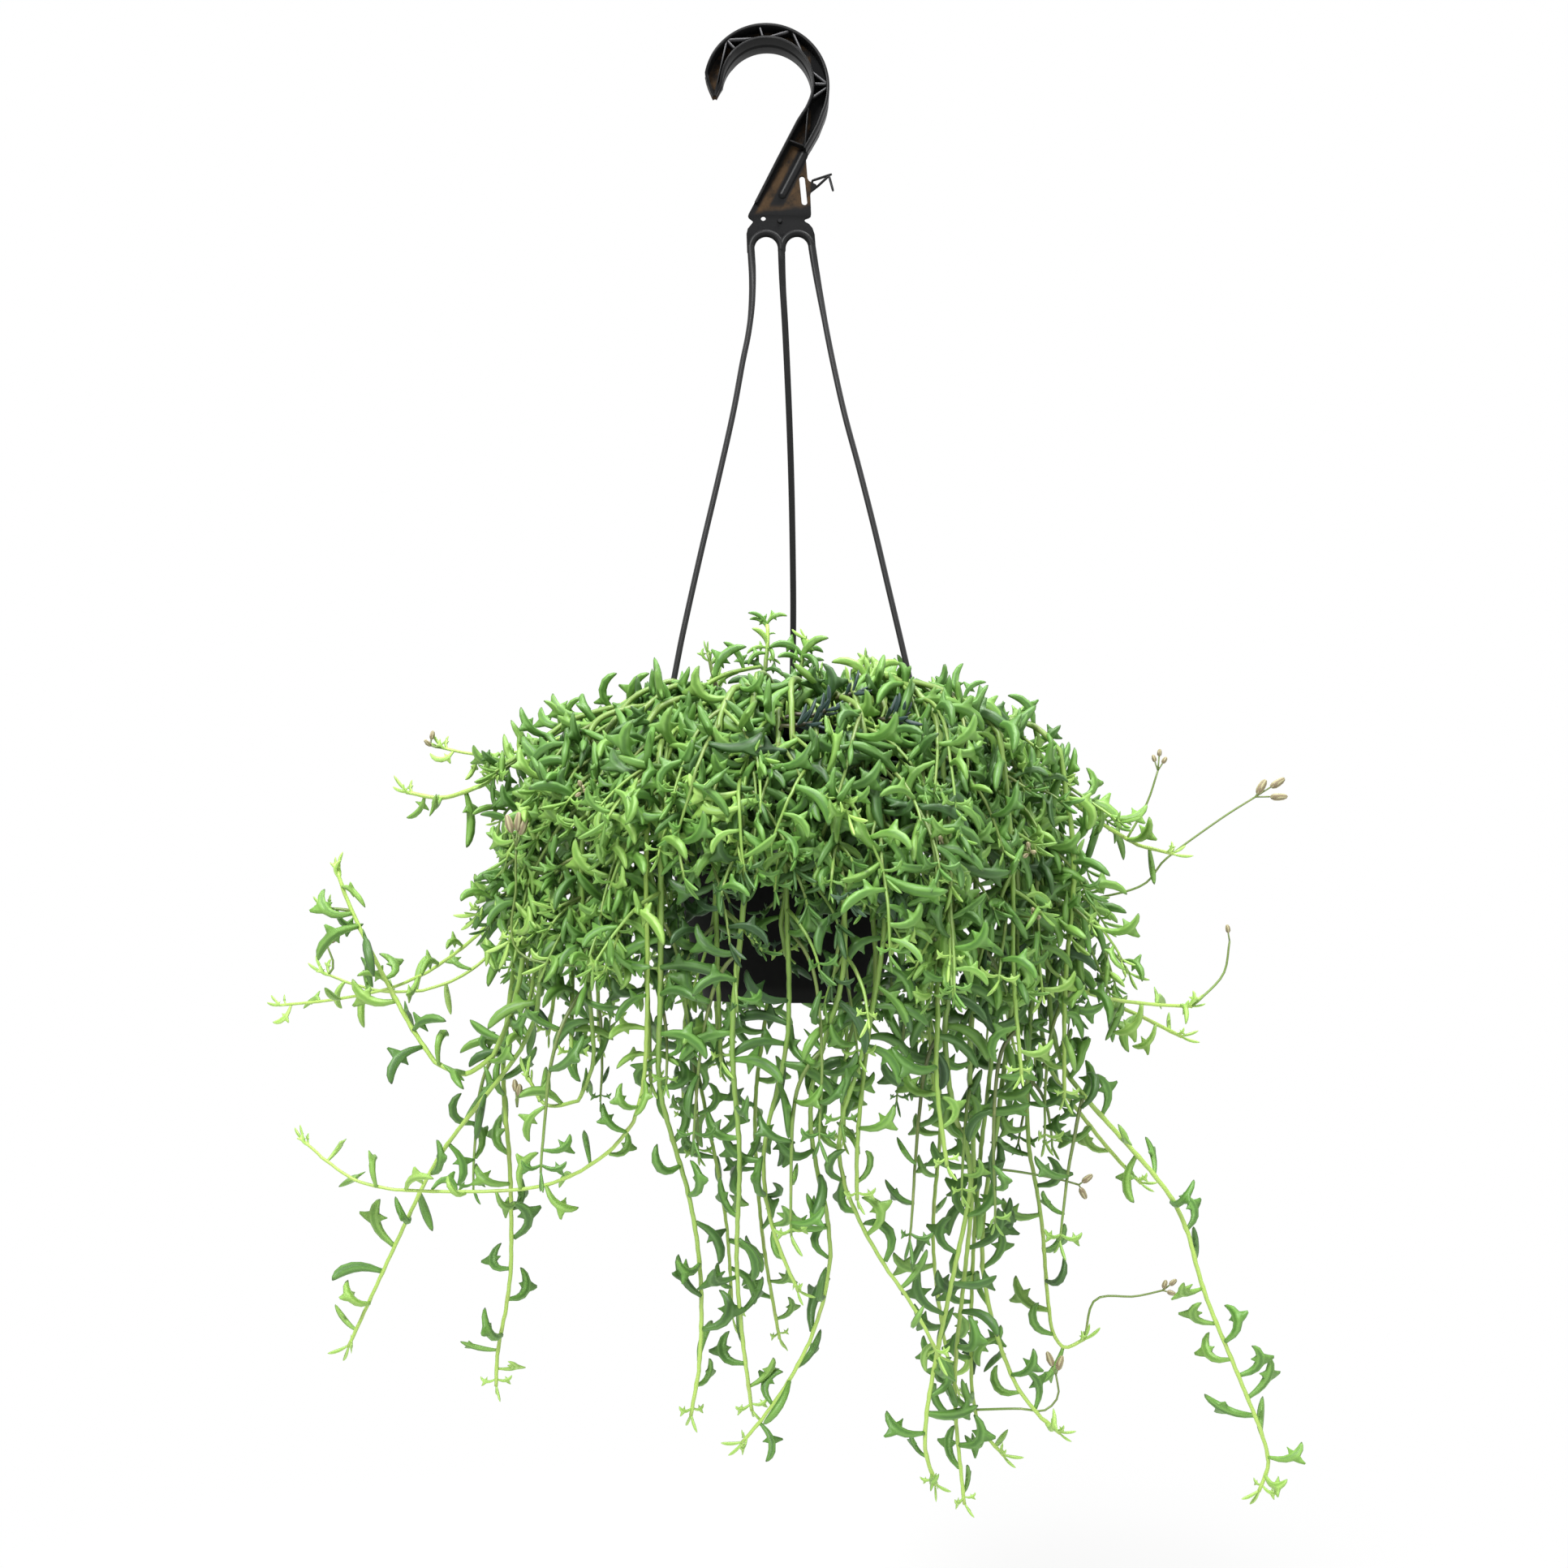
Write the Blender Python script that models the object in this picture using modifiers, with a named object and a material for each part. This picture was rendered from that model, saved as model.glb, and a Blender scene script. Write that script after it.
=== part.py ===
"""A string of dolphins (a trailing succulent) growing in a black nursery pot
that hangs from its own moulded plastic hanger.

Frame: metres, +Z up. The origin is where the hook rests on whatever holds it,
so everything hangs below z = 0. The front of the hook faces -Y.
Lists of points are in millimetres and are turned into metres where they are used.
"""
import math
import random

import bmesh
import bpy
import numpy as np
from mathutils import Matrix, Vector, kdtree

MM = 0.001
WELD = 0.000001

# Hook and plate (front outline in the XZ plane)
HOOK_OUTER = (1.6, -23.8, 31.4)      # centre x, centre z, radius
HOOK_INNER = (2.0, -22.2, 22.2)
FLANGE_HALF_WIDTH = 7.3
FLANGE_THICKNESS = 1.8
RIB_HALF_WIDTH = 6.8
RIB_THICKNESS = 1.0
WEB_HALF_THICKNESS = 0.9
HUB_Z = -101.2
HUB_LEGS_X = (-6.0, 9.2, 24.4)
ARCH_ROD_RADIUS = 1.85
STRAND_WIDTH = 3.3
STRAND_DEPTH = 2.4
STRAND_STEP = 8.0

# Pot (a nominal 15 cm hanging pot)
POT_AXIS_X = 14.0
RIM_Z = -348.0
FLANGE_RADIUS = 75.5
COLLAR_RADIUS = 69.2
FLOOR_Z = -471.8
FOOT_Z = -475.0
FOOT_RADIUS = 43.4
POT_STEPS = 40
CLIP_RADIUS = 72.2
CLIP_ANGLES = (210.0, 330.0, 90.0)
CLIP_SLOT = (3.6, 5.6)               # radial, tangential
SOIL_Z = -358.0
TOUCH_GAP = 0.3

# Plant
STEM_RADIUS = 1.9
THIN_STEM_RADIUS = 1.35
LEAF_PITCH = 42.0
LEAF_LENGTH = 25.0
STEM_CLEARANCE = 1.5
SAMPLE = 3.0
CREST_Z = (-337, -322)               # where a stem crosses the rim
RELAX_ROUNDS = 60

# Long trails and side shoots, placed one by one: the points after the rim, in mm
LONG_TRAILS = {
    "trail_left_low_shoot": [(-85, -15, -345), (-113, -20, -388), (-126, -20, -430), (-166, -15, -463),
                             (-205, -8, -474), (-240, 0, -478)],
    "trail_left_high_shoot": [(-88, 22, -350), (-118, 28, -398), (-130, 24, -442), (-160, 18, -468),
                              (-194, 14, -472), (-222, 12, -462)],
    "trail_left_rising": [(-82, -45, -352), (-106, -52, -402), (-112, -48, -462), (-128, -42, -503),
                          (-152, -32, -508), (-176, -26, -474), (-200, -22, -428), (-206, -20, -412)],
    "trail_left_slanting": [(-72, -60, -350), (-96, -70, -400), (-100, -62, -455), (-112, -42, -494),
                            (-132, -34, -520), (-154, -30, -548), (-170, -30, -580), (-198, -28, -640)],
    "trail_left_straight": [(-90, 5, -348), (-118, 6, -400), (-124, 6, -455), (-130, 5, -510),
                            (-126, 4, -560), (-126, 4, -618), (-132, 4, -646), (-133, 4, -668)],
    "trail_left_crossing": [(-38, -92, -352), (-48, -112, -400), (-48, -108, -470), (-54, -92, -522),
                            (-76, -76, -546), (-104, -68, -558), (-160, -62, -560), (-188, -58, -556),
                            (-212, -54, -538)],
    "trail_left_curl": [(-60, -74, -350), (-78, -92, -398), (-76, -88, -462), (-76, -70, -506),
                        (-90, -62, -524), (-106, -58, -518), (-108, -56, -508)],
    "trail_front_left": [(-38, -74, -346), (-43, -106, -370), (-42, -112, -420), (-43, -106, -475),
                         (-44, -92, -512), (-32, -76, -560), (-27, -70, -600), (-28, -66, -640),
                         (-32, -64, -662)],
    "trail_front_mid_left": [(-4, -84, -346), (-8, -108, -370), (-6, -114, -420), (-12, -106, -485),
                             (-9, -88, -540), (-11, -72, -590), (-8, -62, -632), (-4, -58, -662)],
    "trail_front_hooked": [(24, -86, -346), (26, -110, -372), (34, -116, -410), (36, -110, -460),
                           (22, -92, -512), (26, -78, -552), (32, -70, -580), (28, -66, -612),
                           (16, -62, -642), (-2, -60, -668), (-9, -60, -676)],
    "trail_front_centre": [(8, -88, -348), (10, -104, -390), (12, -104, -440), (12, -98, -490),
                           (1, -86, -540), (6, -82, -576), (17, -80, -602)],
    "trail_front_right_a": [(56, -66, -345), (78, -90, -380), (84, -92, -430), (82, -80, -480),
                            (88, -62, -524), (98, -52, -552), (90, -46, -600), (80, -44, -650),
                            (76, -42, -684), (82, -40, -702)],
    "trail_front_right_b": [(66, -60, -345), (92, -76, -388), (98, -72, -440), (96, -58, -500),
                            (100, -40, -556), (96, -32, -610), (92, -28, -660), (97, -26, -716)],
    "trail_front_right_c": [(78, -50, -345), (106, -58, -385), (112, -52, -440), (108, -36, -510),
                            (104, -18, -570), (102, -12, -630), (104, -10, -680), (118, -10, -698)],
    "trail_front_right_d": [(84, -36, -345), (116, -44, -392), (120, -40, -450), (114, -30, -520),
                            (106, -26, -580), (108, -24, -618), (124, -22, -664), (144, -20, -684)],
    "trail_right_straight": [(92, -22, -345), (126, -28, -390), (132, -24, -440), (130, -12, -500),
                             (131, -4, -546), (138, 0, -580), (142, 2, -628), (147, 2, -652),
                             (160, 2, -644)],
    "trail_right_long": [(98, -10, -348), (132, -14, -392), (138, -16, -440), (142, -18, -498),
                         (160, -20, -526), (182, -20, -550), (203, -20, -578), (213, -20, -614),
                         (231, -20, -658), (246, -20, -698), (240, -20, -712)],
    "trail_right_short": [(98, 12, -348), (130, 14, -396), (138, 12, -450), (142, 10, -505),
                          (162, 10, -536), (178, 10, -556), (190, 10, -568)],
    "trail_right_level_a": [(100, -30, -350), (128, -38, -400), (132, -36, -450), (148, -28, -468),
                            (180, -18, -476), (210, -12, -478)],
    "trail_right_level_b": [(100, 28, -350), (132, 30, -402), (144, 28, -452), (170, 24, -474),
                            (196, 22, -486), (213, 20, -495)],
    "trail_right_high_shoot": [(90, 2, -332), (122, 2, -346), (148, 2, -372), (166, 0, -386),
                               (188, -2, -400), (203, -4, -403)],
    "trail_left_top_shoot": [(-72, -2, -332), (-98, -4, -345), (-120, -4, -353), (-142, -2, -354),
                             (-160, 0, -350)],
    "trail_left_shoulder": [(-76, -26, -334), (-108, -30, -352), (-132, -28, -370), (-154, -24, -378),
                            (-172, -22, -374)],
    "trail_front_crossing": [(44, -82, -346), (52, -102, -384), (54, -104, -440), (44, -96, -500),
                             (34, -86, -540), (50, -80, -582), (68, -78, -608), (80, -76, -632)],
    "trail_back_left_long": [(-40, 84, -350), (-54, 110, -400), (-48, 114, -470), (-34, 106, -540),
                             (-22, 98, -600), (-18, 94, -656)],
    "trail_back_long": [(2, 98, -350), (0, 128, -400), (2, 128, -470), (-6, 118, -540), (-2, 108, -610),
                        (8, 104, -670)],
    "trail_back_right_long": [(66, 84, -350), (88, 104, -400), (90, 104, -470), (98, 98, -540),
                              (92, 84, -610), (100, 80, -676), (106, 80, -694)],
    "trail_back_shoot": [(40, 98, -350), (48, 126, -398), (50, 140, -450), (56, 164, -480),
                         (58, 192, -488), (60, 204, -480)],
    "trail_back_left_shoot": [(-30, 96, -348), (-44, 122, -392), (-56, 140, -440), (-74, 166, -462),
                              (-84, 184, -462)],
}

# Upright shoots of the crown: root and the points above it
CROWN_SHOOTS = {
    "shoot_tallest": [(-2, -8, -357.7), (-4, -8, -340), (0, -8, -320), (3, -7, -296), (2, -6, -284)],
    "shoot_second": [(20, -4, -357.7), (20, -4, -340), (18, -6, -322), (19, -6, -305), (22, -6, -297)],
    "shoot_left": [(-18, -22, -357.7), (-20, -24, -340), (-24, -28, -322), (-26, -30, -308)],
    "shoot_right": [(44, -14, -357.7), (46, -16, -340), (50, -18, -322), (50, -20, -312)],
    "shoot_back": [(24, 26, -357.7), (24, 28, -340), (28, 32, -322), (30, 34, -308)],
    "shoot_back_left": [(-14, 22, -357.7), (-16, 24, -340), (-22, 28, -324), (-24, 32, -312)],
}

# Trails that fill the dome: azimuth in degrees, widest radius, height of the tip, flare at the tip
DOME_TRAILS = [
    (252, 108, -498, 4), (288, 106, -560, 0), (308, 112, -545, 6), (232, 112, -508, 4),
    (270, 98, -452, 0), (216, 122, -498, 8), (322, 126, -505, 10), (198, 132, -485, 6),
    (342, 140, -520, 4), (166, 128, -495, 8), (152, 120, -500, 6), (138, 130, -490, 10),
    (124, 112, -545, 4), (108, 126, -520, 8), (74, 122, -560, 4), (58, 130, -505, 10),
    (44, 116, -540, 6), (30, 134, -505, 8), (16, 128, -515, 8), (98, 98, -470, 0),
]

STRAND_ROUTES = [
    [(-6.0, 0, HUB_Z + 1), (-5.2, -1, -116), (-5.6, -3, -132), (-7.2, -5, -146), (-10.0, -7.5, -161),
     (-14.4, -12, -187), (-21.5, -17, -221), (-30, -23.5, -260), (-38, -30, -299), (-43, -33.5, -326),
     (-46.5, -35.4, -338)],
    [(24.4, 0, HUB_Z + 1), (26, -1, -111), (28.6, -3, -127), (33.7, -7, -156), (40, -12, -187),
     (47, -16, -215), (54, -21, -245), (60.5, -26, -275), (67, -31, -305), (73.5, -34.8, -335)],
    [(9.2, 0, HUB_Z + 1), (9.8, 2, -118), (11.3, 10, -141), (13.2, 25, -178), (14.5, 39, -214),
     (15.3, 52, -255), (15.4, 58.5, -280), (15, 66, -310), (14.2, 71, -335)],
]


def clear_scene():
    for thing in list(bpy.data.objects):
        bpy.data.objects.remove(thing, do_unlink=True)


def new_collection(name):
    group = bpy.data.collections.new(name)
    bpy.context.scene.collection.children.link(group)
    return group


def plastic(name, colour, roughness):
    material = bpy.data.materials.new(name)
    material.use_nodes = True
    shader = material.node_tree.nodes["Principled BSDF"]
    shader.inputs["Base Color"].default_value = (*colour, 1.0)
    shader.inputs["Roughness"].default_value = roughness
    shader.inputs["Metallic"].default_value = 0.0
    return material


def arc(circle, start, stop, count, shrink=0.0):
    """Points along a circle (centre x, centre z, radius), angles in degrees."""
    cx, cz, radius = circle
    points = []
    for i in range(count + 1):
        angle = math.radians(start + (stop - start) * i / count)
        points.append((cx + (radius - shrink) * math.cos(angle), cz + (radius - shrink) * math.sin(angle)))
    return points


def smooth_route(points, step):
    """Points every step along a smooth curve through the given ones (Catmull-Rom)."""
    p = np.array(points, dtype=float)
    p = np.vstack([2 * p[0] - p[1], p, 2 * p[-1] - p[-2]])
    dense = []
    for i in range(1, len(p) - 2):
        for t in np.linspace(0, 1, 24, endpoint=False):
            a = 2 * p[i]
            b = p[i + 1] - p[i - 1]
            c = 2 * p[i - 1] - 5 * p[i] + 4 * p[i + 1] - p[i + 2]
            d = 3 * p[i] - p[i - 1] - 3 * p[i + 1] + p[i + 2]
            dense.append(0.5 * (a + b * t + c * t * t + d * t ** 3))
    dense.append(p[-2])
    return resample(np.array(dense), step)


def resample(line, step):
    along = np.concatenate([[0], np.cumsum(np.linalg.norm(np.diff(line, axis=0), axis=1))])
    count = max(2, int(round(along[-1] / step)))
    places = np.linspace(0, along[-1], count + 1)
    return np.stack([np.interp(places, along, line[:, k]) for k in range(3)], axis=1)


def mesh_of(thing):
    """The evaluated mesh of a curve or a modified mesh, at its place in the world, caps welded."""
    graph = bpy.context.evaluated_depsgraph_get()
    graph.update()
    mesh = bpy.data.meshes.new_from_object(thing.evaluated_get(graph))
    mesh.transform(thing.matrix_world)
    bm = bmesh.new()
    bm.from_mesh(mesh)
    bmesh.ops.remove_doubles(bm, verts=bm.verts, dist=WELD)
    bmesh.ops.recalc_face_normals(bm, faces=bm.faces)
    bm.to_mesh(mesh)
    bm.free()
    return mesh


def settle(thing, name):
    """Replace a curve by a mesh object of the same shape."""
    mesh = mesh_of(thing)
    bpy.data.objects.remove(thing, do_unlink=True)
    solid = bpy.data.objects.new(name, mesh)
    bpy.context.scene.collection.objects.link(solid)
    return solid


def flat_plate(name, loops, half_width):
    """A plate in the XZ plane: the first loop is its outline and the others are holes."""
    curve = bpy.data.curves.new(name, "CURVE")
    curve.dimensions = "2D"
    curve.fill_mode = "BOTH"
    curve.extrude = half_width * MM
    for loop in loops:
        spline = curve.splines.new("POLY")
        spline.points.add(len(loop) - 1)
        for point, (x, z) in zip(spline.points, loop):
            point.co = (x * MM, z * MM, 0, 1)
        spline.use_cyclic_u = True
    plate = bpy.data.objects.new(name, curve)
    plate.rotation_euler = (math.radians(90), 0, 0)
    bpy.context.scene.collection.objects.link(plate)
    bpy.context.view_layer.update()
    return settle(plate, name)


def strip(name, path, thickness, half_width):
    """A wall of even thickness that stands on a path in the XZ plane."""
    line = np.array(path, dtype=float)
    along = np.gradient(line, axis=0)
    along /= np.linalg.norm(along, axis=1)[:, None]
    side = np.stack([-along[:, 1], along[:, 0]], axis=1) * thickness / 2
    outline = [tuple(p) for p in line + side] + [tuple(p) for p in (line - side)[::-1]]
    return flat_plate(name, [outline], half_width)


def tube(name, points, radius, resolution=2, tip=1.0):
    """A round rod along points in mm. The last points shrink to tip times the radius."""
    curve = bpy.data.curves.new(name, "CURVE")
    curve.dimensions = "3D"
    curve.bevel_depth = radius * MM
    curve.bevel_resolution = resolution
    curve.use_fill_caps = True
    spline = curve.splines.new("POLY")
    spline.points.add(len(points) - 1)
    for i, place in enumerate(points):
        spline.points[i].co = (*(Vector(place) * MM), 1)
        left = len(points) - 1 - i
        spline.points[i].radius = tip + (1 - tip) * min(1.0, left / 4)
    rod = bpy.data.objects.new(name, curve)
    bpy.context.scene.collection.objects.link(rod)
    return settle(rod, name)


def block(name, size, centre, turn=0.0):
    """A box in mm, turned about Z by degrees."""
    mesh = bpy.data.meshes.new(name)
    bm = bmesh.new()
    bmesh.ops.create_cube(bm, size=1.0)
    bmesh.ops.scale(bm, vec=Vector(size) * MM, verts=bm.verts)
    bmesh.ops.rotate(bm, matrix=Matrix.Rotation(math.radians(turn), 3, "Z"), verts=bm.verts)
    bmesh.ops.translate(bm, vec=Vector(centre) * MM, verts=bm.verts)
    bm.to_mesh(mesh)
    bm.free()
    solid = bpy.data.objects.new(name, mesh)
    bpy.context.scene.collection.objects.link(solid)
    return solid


def combine(base, other, operation):
    """Union or difference of two closed meshes. The other object is used up."""
    modifier = base.modifiers.new("combine", "BOOLEAN")
    modifier.operation = operation
    modifier.object = other
    bpy.context.view_layer.update()
    mesh = mesh_of(base)
    base.modifiers.clear()
    base.data = mesh
    bpy.data.objects.remove(other, do_unlink=True)


def tidy_faces(thing):
    """Join the splinters that unions leave in flat faces."""
    bm = bmesh.new()
    bm.from_mesh(thing.data)
    bmesh.ops.remove_doubles(bm, verts=bm.verts, dist=10 * WELD)
    bmesh.ops.dissolve_limit(bm, angle_limit=math.radians(0.05), verts=bm.verts, edges=bm.edges)
    bmesh.ops.triangulate(bm, faces=bm.faces)
    bm.to_mesh(thing.data)
    bm.free()


def finish_node(thing, name, material, group):
    thing.name = name
    thing.data.name = name
    thing.data.materials.clear()
    thing.data.materials.append(material)
    for holder in list(thing.users_collection):
        holder.objects.unlink(thing)
    group.objects.link(thing)
    thing.data.shade_smooth()
    thing.data.set_sharp_from_angle(angle=math.radians(40))


# ---------------------------------------------------------------- hanger

def hook_outline():
    outline = [(-22.6, -31.0), (-25.6, -30.4), (-28.6, -18.0)]
    outline += arc(HOOK_OUTER, 166, -24, 24)
    outline += [(27.9, -42.5), (24.3, -49.0), (21.3, -54.0), (22.3, -67.3), (27.0, -70.4), (23.6, -73.8)]
    outline += [(24.0, -84.2), (23.4, -85.6), (20.6, -86.6), (21.8, -89.3), (24.6, -94.6), (25.2, -102.3)]
    outline += [(23.4, -102.3)] + arc((16.8, -101.2, 6.4), 0, 180, 12) + [(9.3, -102.9)]
    outline += arc((1.6, -101.2, 6.4), 0, 180, 12) + [(-5.0, -102.4), (-6.9, -102.4), (-7.2, -93.0)]
    outline += [(-5.2, -87.8), (-7.2, -85.6), (-7.1, -84.2), (17.1, -38.3), (20.4, -35.4)]
    outline += arc(HOOK_INNER, -27, 184, 24)
    return outline


def slot_outline():
    top, low, half = (19.5, -66.6), (20.7, -78.4), 1.4
    return arc((*top, half), 5, 175, 6) + arc((*low, half), 185, 355, 6)


def narrow_towards_plate(wall, least):
    """The shank's flanges lose height as they run down to the thin plate."""
    for vertex in wall.data.vertices:
        drop = (-0.036 - vertex.co.z) / 0.040
        share = min(1.0, max(0.0, drop))
        vertex.co.y *= 1 - (1 - least) * share


def narrow_towards_tip(wall):
    """The flanges lose height again on the last stretch down to the hook's tip."""
    tip_side_x, start_z, reach, least = -0.018, -0.010, 0.020, 0.38
    for vertex in wall.data.vertices:
        if vertex.co.x < tip_side_x:
            share = min(1.0, max(0.0, (start_z - vertex.co.z) / reach))
            vertex.co.y *= 1 - (1 - least) * share


def build_hanger(material, group):
    hanger = flat_plate("web", [hook_outline(), slot_outline(), arc((0.4, -86.6, 1.3), 0, 330, 11)],
                        WEB_HALF_THICKNESS)
    inset = FLANGE_THICKNESS / 2
    outer = [(-24.4, -30.2), (-27.0, -20.5)] + arc(HOOK_OUTER, 164, -24, 24, inset)
    outer += [(27.1, -42.2), (23.5, -48.6), (20.6, -53.6)]
    inner = [(-23.3, -30.0), (-21.9, -25.5)] + arc(HOOK_INNER, 182, -24, 24, -inset)
    inner += [(20.9, -36.2), (17.8, -39.2), (8.0, -57.9), (-1.4, -75.9), (-3.2, -79.2)]
    outer_wall = strip("outer_flange", outer, FLANGE_THICKNESS, FLANGE_HALF_WIDTH)
    narrow_towards_plate(outer_wall, 0.55)
    narrow_towards_tip(outer_wall)
    inner_wall = strip("inner_flange", inner, FLANGE_THICKNESS, FLANGE_HALF_WIDTH - 0.05)
    narrow_towards_plate(inner_wall, 0.3)
    narrow_towards_tip(inner_wall)
    combine(hanger, outer_wall, "UNION")
    combine(hanger, inner_wall, "UNION")

    def on_ring(circle, angle, shrink):
        return arc(circle, angle, angle, 1, shrink)[0]

    near_outer = [(on_ring(HOOK_OUTER, a, 0.9)) for a in (130.0, 96.5, 67.0, 64.0, 3.0, -1.5)]
    near_inner = [(on_ring(HOOK_INNER, a, -0.9)) for a in (130.0, 95.5, 90.0, 40.0, 23.0, 6.0, -18.0)]
    ribs = [(near_outer[0], near_inner[1]), (near_outer[0], near_inner[0]), (near_outer[0], (-22.9, -28.6)),
            (near_outer[1], near_inner[1]), (near_inner[2], near_outer[2]), (near_outer[3], near_inner[3]),
            (near_inner[4], near_outer[4]), (near_inner[5], near_outer[4]), (near_outer[5], near_inner[6]),
            ((22.9, -32.5), (20.9, -52.6)), ((12.4, -49.0), (21.6, -50.8))]
    for i, (start, stop) in enumerate(ribs):
        rib = strip(f"rib_{i}", [start, stop], RIB_THICKNESS, RIB_HALF_WIDTH - 0.07 * i)
        narrow_towards_plate(rib, 0.5)
        narrow_towards_tip(rib)
        combine(hanger, rib, "UNION")

    half_round = tube("half_round", [(20.9, -0.0, -53.2), (16.4, 0, -62.0), (12.0, 0, -70.4), (8.6, 0, -76.8)],
                      2.3, resolution=4)
    combine(hanger, half_round, "UNION")
    boss = tube("boss", [(8.4, -1.9, -88.0), (8.4, 1.9, -88.0)], 1.4, resolution=4)
    combine(hanger, boss, "UNION")

    left = [(x, 0, z) for x, z in arc((1.6, -101.2, 7.6), -2, 182, 12)]
    right = [(x, 0.05, z) for x, z in arc((17.0, -101.0, 7.4), 176, -2, 12)]
    combine(hanger, tube("left_arch", [(9.2, 0, -105)] + left + [(-6.0, 0, -105)], ARCH_ROD_RADIUS, 2), "UNION")
    combine(hanger, tube("right_arch", [(9.5, 0.05, -103.4)] + right + [(24.4, 0, -105)],
                         ARCH_ROD_RADIUS - 0.06, 2), "UNION")
    sprue = [[(24.9, 0, -70.2), (27.8, -1.0, -69.6), (32.0, -1.5, -65.2), (34.4, -1.5, -63.4)],
             [(32.6, -1.5, -64.9), (33.6, -1.8, -69.0), (35.0, -2.0, -73.2)],
             [(33.0, -1.6, -64.6), (29.0, -1.2, -66.0), (24.6, -0.3, -67.0), (24.2, 0.0, -69.6)]]
    for i, points in enumerate(sprue):
        combine(hanger, tube(f"sprue_{i}", points, 0.62, 1), "UNION")
    for i, (route, angle) in enumerate(zip(STRAND_ROUTES, CLIP_ANGLES)):
        combine(hanger, strand(f"strand_{i}", route, angle), "UNION")
        for part in snap_end(f"snap_{i}", angle):
            combine(hanger, part, "UNION")
    tidy_faces(hanger)
    finish_node(hanger, "hanger", material, group)


def strand(name, route, angle):
    """A flat strand swept from the hub to its slot in the rim, broad side to the pot."""
    turn = math.radians(angle)
    clip = (POT_AXIS_X + CLIP_RADIUS * math.cos(turn), CLIP_RADIUS * math.sin(turn))
    points = smooth_route(route + [(*clip, RIM_Z + 2.5), (*clip, RIM_Z - 2.0)], STRAND_STEP)
    out = Vector((math.cos(turn), math.sin(turn), 0))
    broad = Vector((-out.y, out.x, 0))
    start_broad = Vector((1, 0, 0))
    mesh = bpy.data.meshes.new(name)
    bm = bmesh.new()
    rings = []
    corners = [(1, -0.6), (1, 0.6), (0.7, 1), (-0.7, 1), (-1, 0.6), (-1, -0.6), (-0.7, -1), (0.7, -1)]
    for i, place in enumerate(points):
        ahead = Vector(points[min(i + 1, len(points) - 1)] - points[max(i - 1, 0)]).normalized()
        share = min(1.0, i / 6)
        across = (start_broad.lerp(broad if broad.x > 0 else -broad, share))
        across = (across - ahead * across.dot(ahead)).normalized()
        deep = ahead.cross(across)
        ring = []
        for a, b in corners:
            offset = across * (a * STRAND_WIDTH / 2) + deep * (b * STRAND_DEPTH / 2)
            ring.append(bm.verts.new((Vector(place) + offset) * MM))
        rings.append(ring)
    for low, high in zip(rings, rings[1:]):
        for k in range(8):
            bm.faces.new((low[k], low[(k + 1) % 8], high[(k + 1) % 8], high[k]))
    bm.faces.new(rings[0])
    bm.faces.new(rings[-1])
    bmesh.ops.recalc_face_normals(bm, faces=bm.faces)
    bm.to_mesh(mesh)
    bm.free()
    solid = bpy.data.objects.new(name, mesh)
    bpy.context.scene.collection.objects.link(solid)
    return solid


def snap_end(name, angle):
    """The neck in the rim's slot, the shoulder above it and the barb below it."""
    turn = math.radians(angle)
    x = POT_AXIS_X + CLIP_RADIUS * math.cos(turn)
    y = CLIP_RADIUS * math.sin(turn)
    neck = block(name + "_neck", (2.6, 4.4, 9.0), (x, y, RIM_Z - 1.4), angle)
    shoulder = block(name + "_shoulder", (3.2, 7.6, 2.2), (x, y, RIM_Z + TOUCH_GAP + 1.1), angle)
    barb = block(name + "_barb", (2.9, 7.2, 2.4), (x, y, RIM_Z - 1.8 - TOUCH_GAP - 1.2), angle)
    return [neck, shoulder, barb]


# ---------------------------------------------------------------- pot and soil

def turned(name, profile):
    """A solid of revolution about the pot's axis from (radius, z) points in mm."""
    mesh = bpy.data.meshes.new(name)
    verts = [(r * MM, 0, z * MM) for r, z in profile]
    mesh.from_pydata(verts, [(i, i + 1) for i in range(len(verts) - 1)], [])
    solid = bpy.data.objects.new(name, mesh)
    solid.location.x = POT_AXIS_X * MM
    bpy.context.scene.collection.objects.link(solid)
    screw = solid.modifiers.new("turn", "SCREW")
    screw.steps = POT_STEPS
    screw.render_steps = POT_STEPS
    screw.use_merge_vertices = True
    screw.merge_threshold = 0.00001
    bpy.context.view_layer.update()
    return settle(solid, name)


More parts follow.
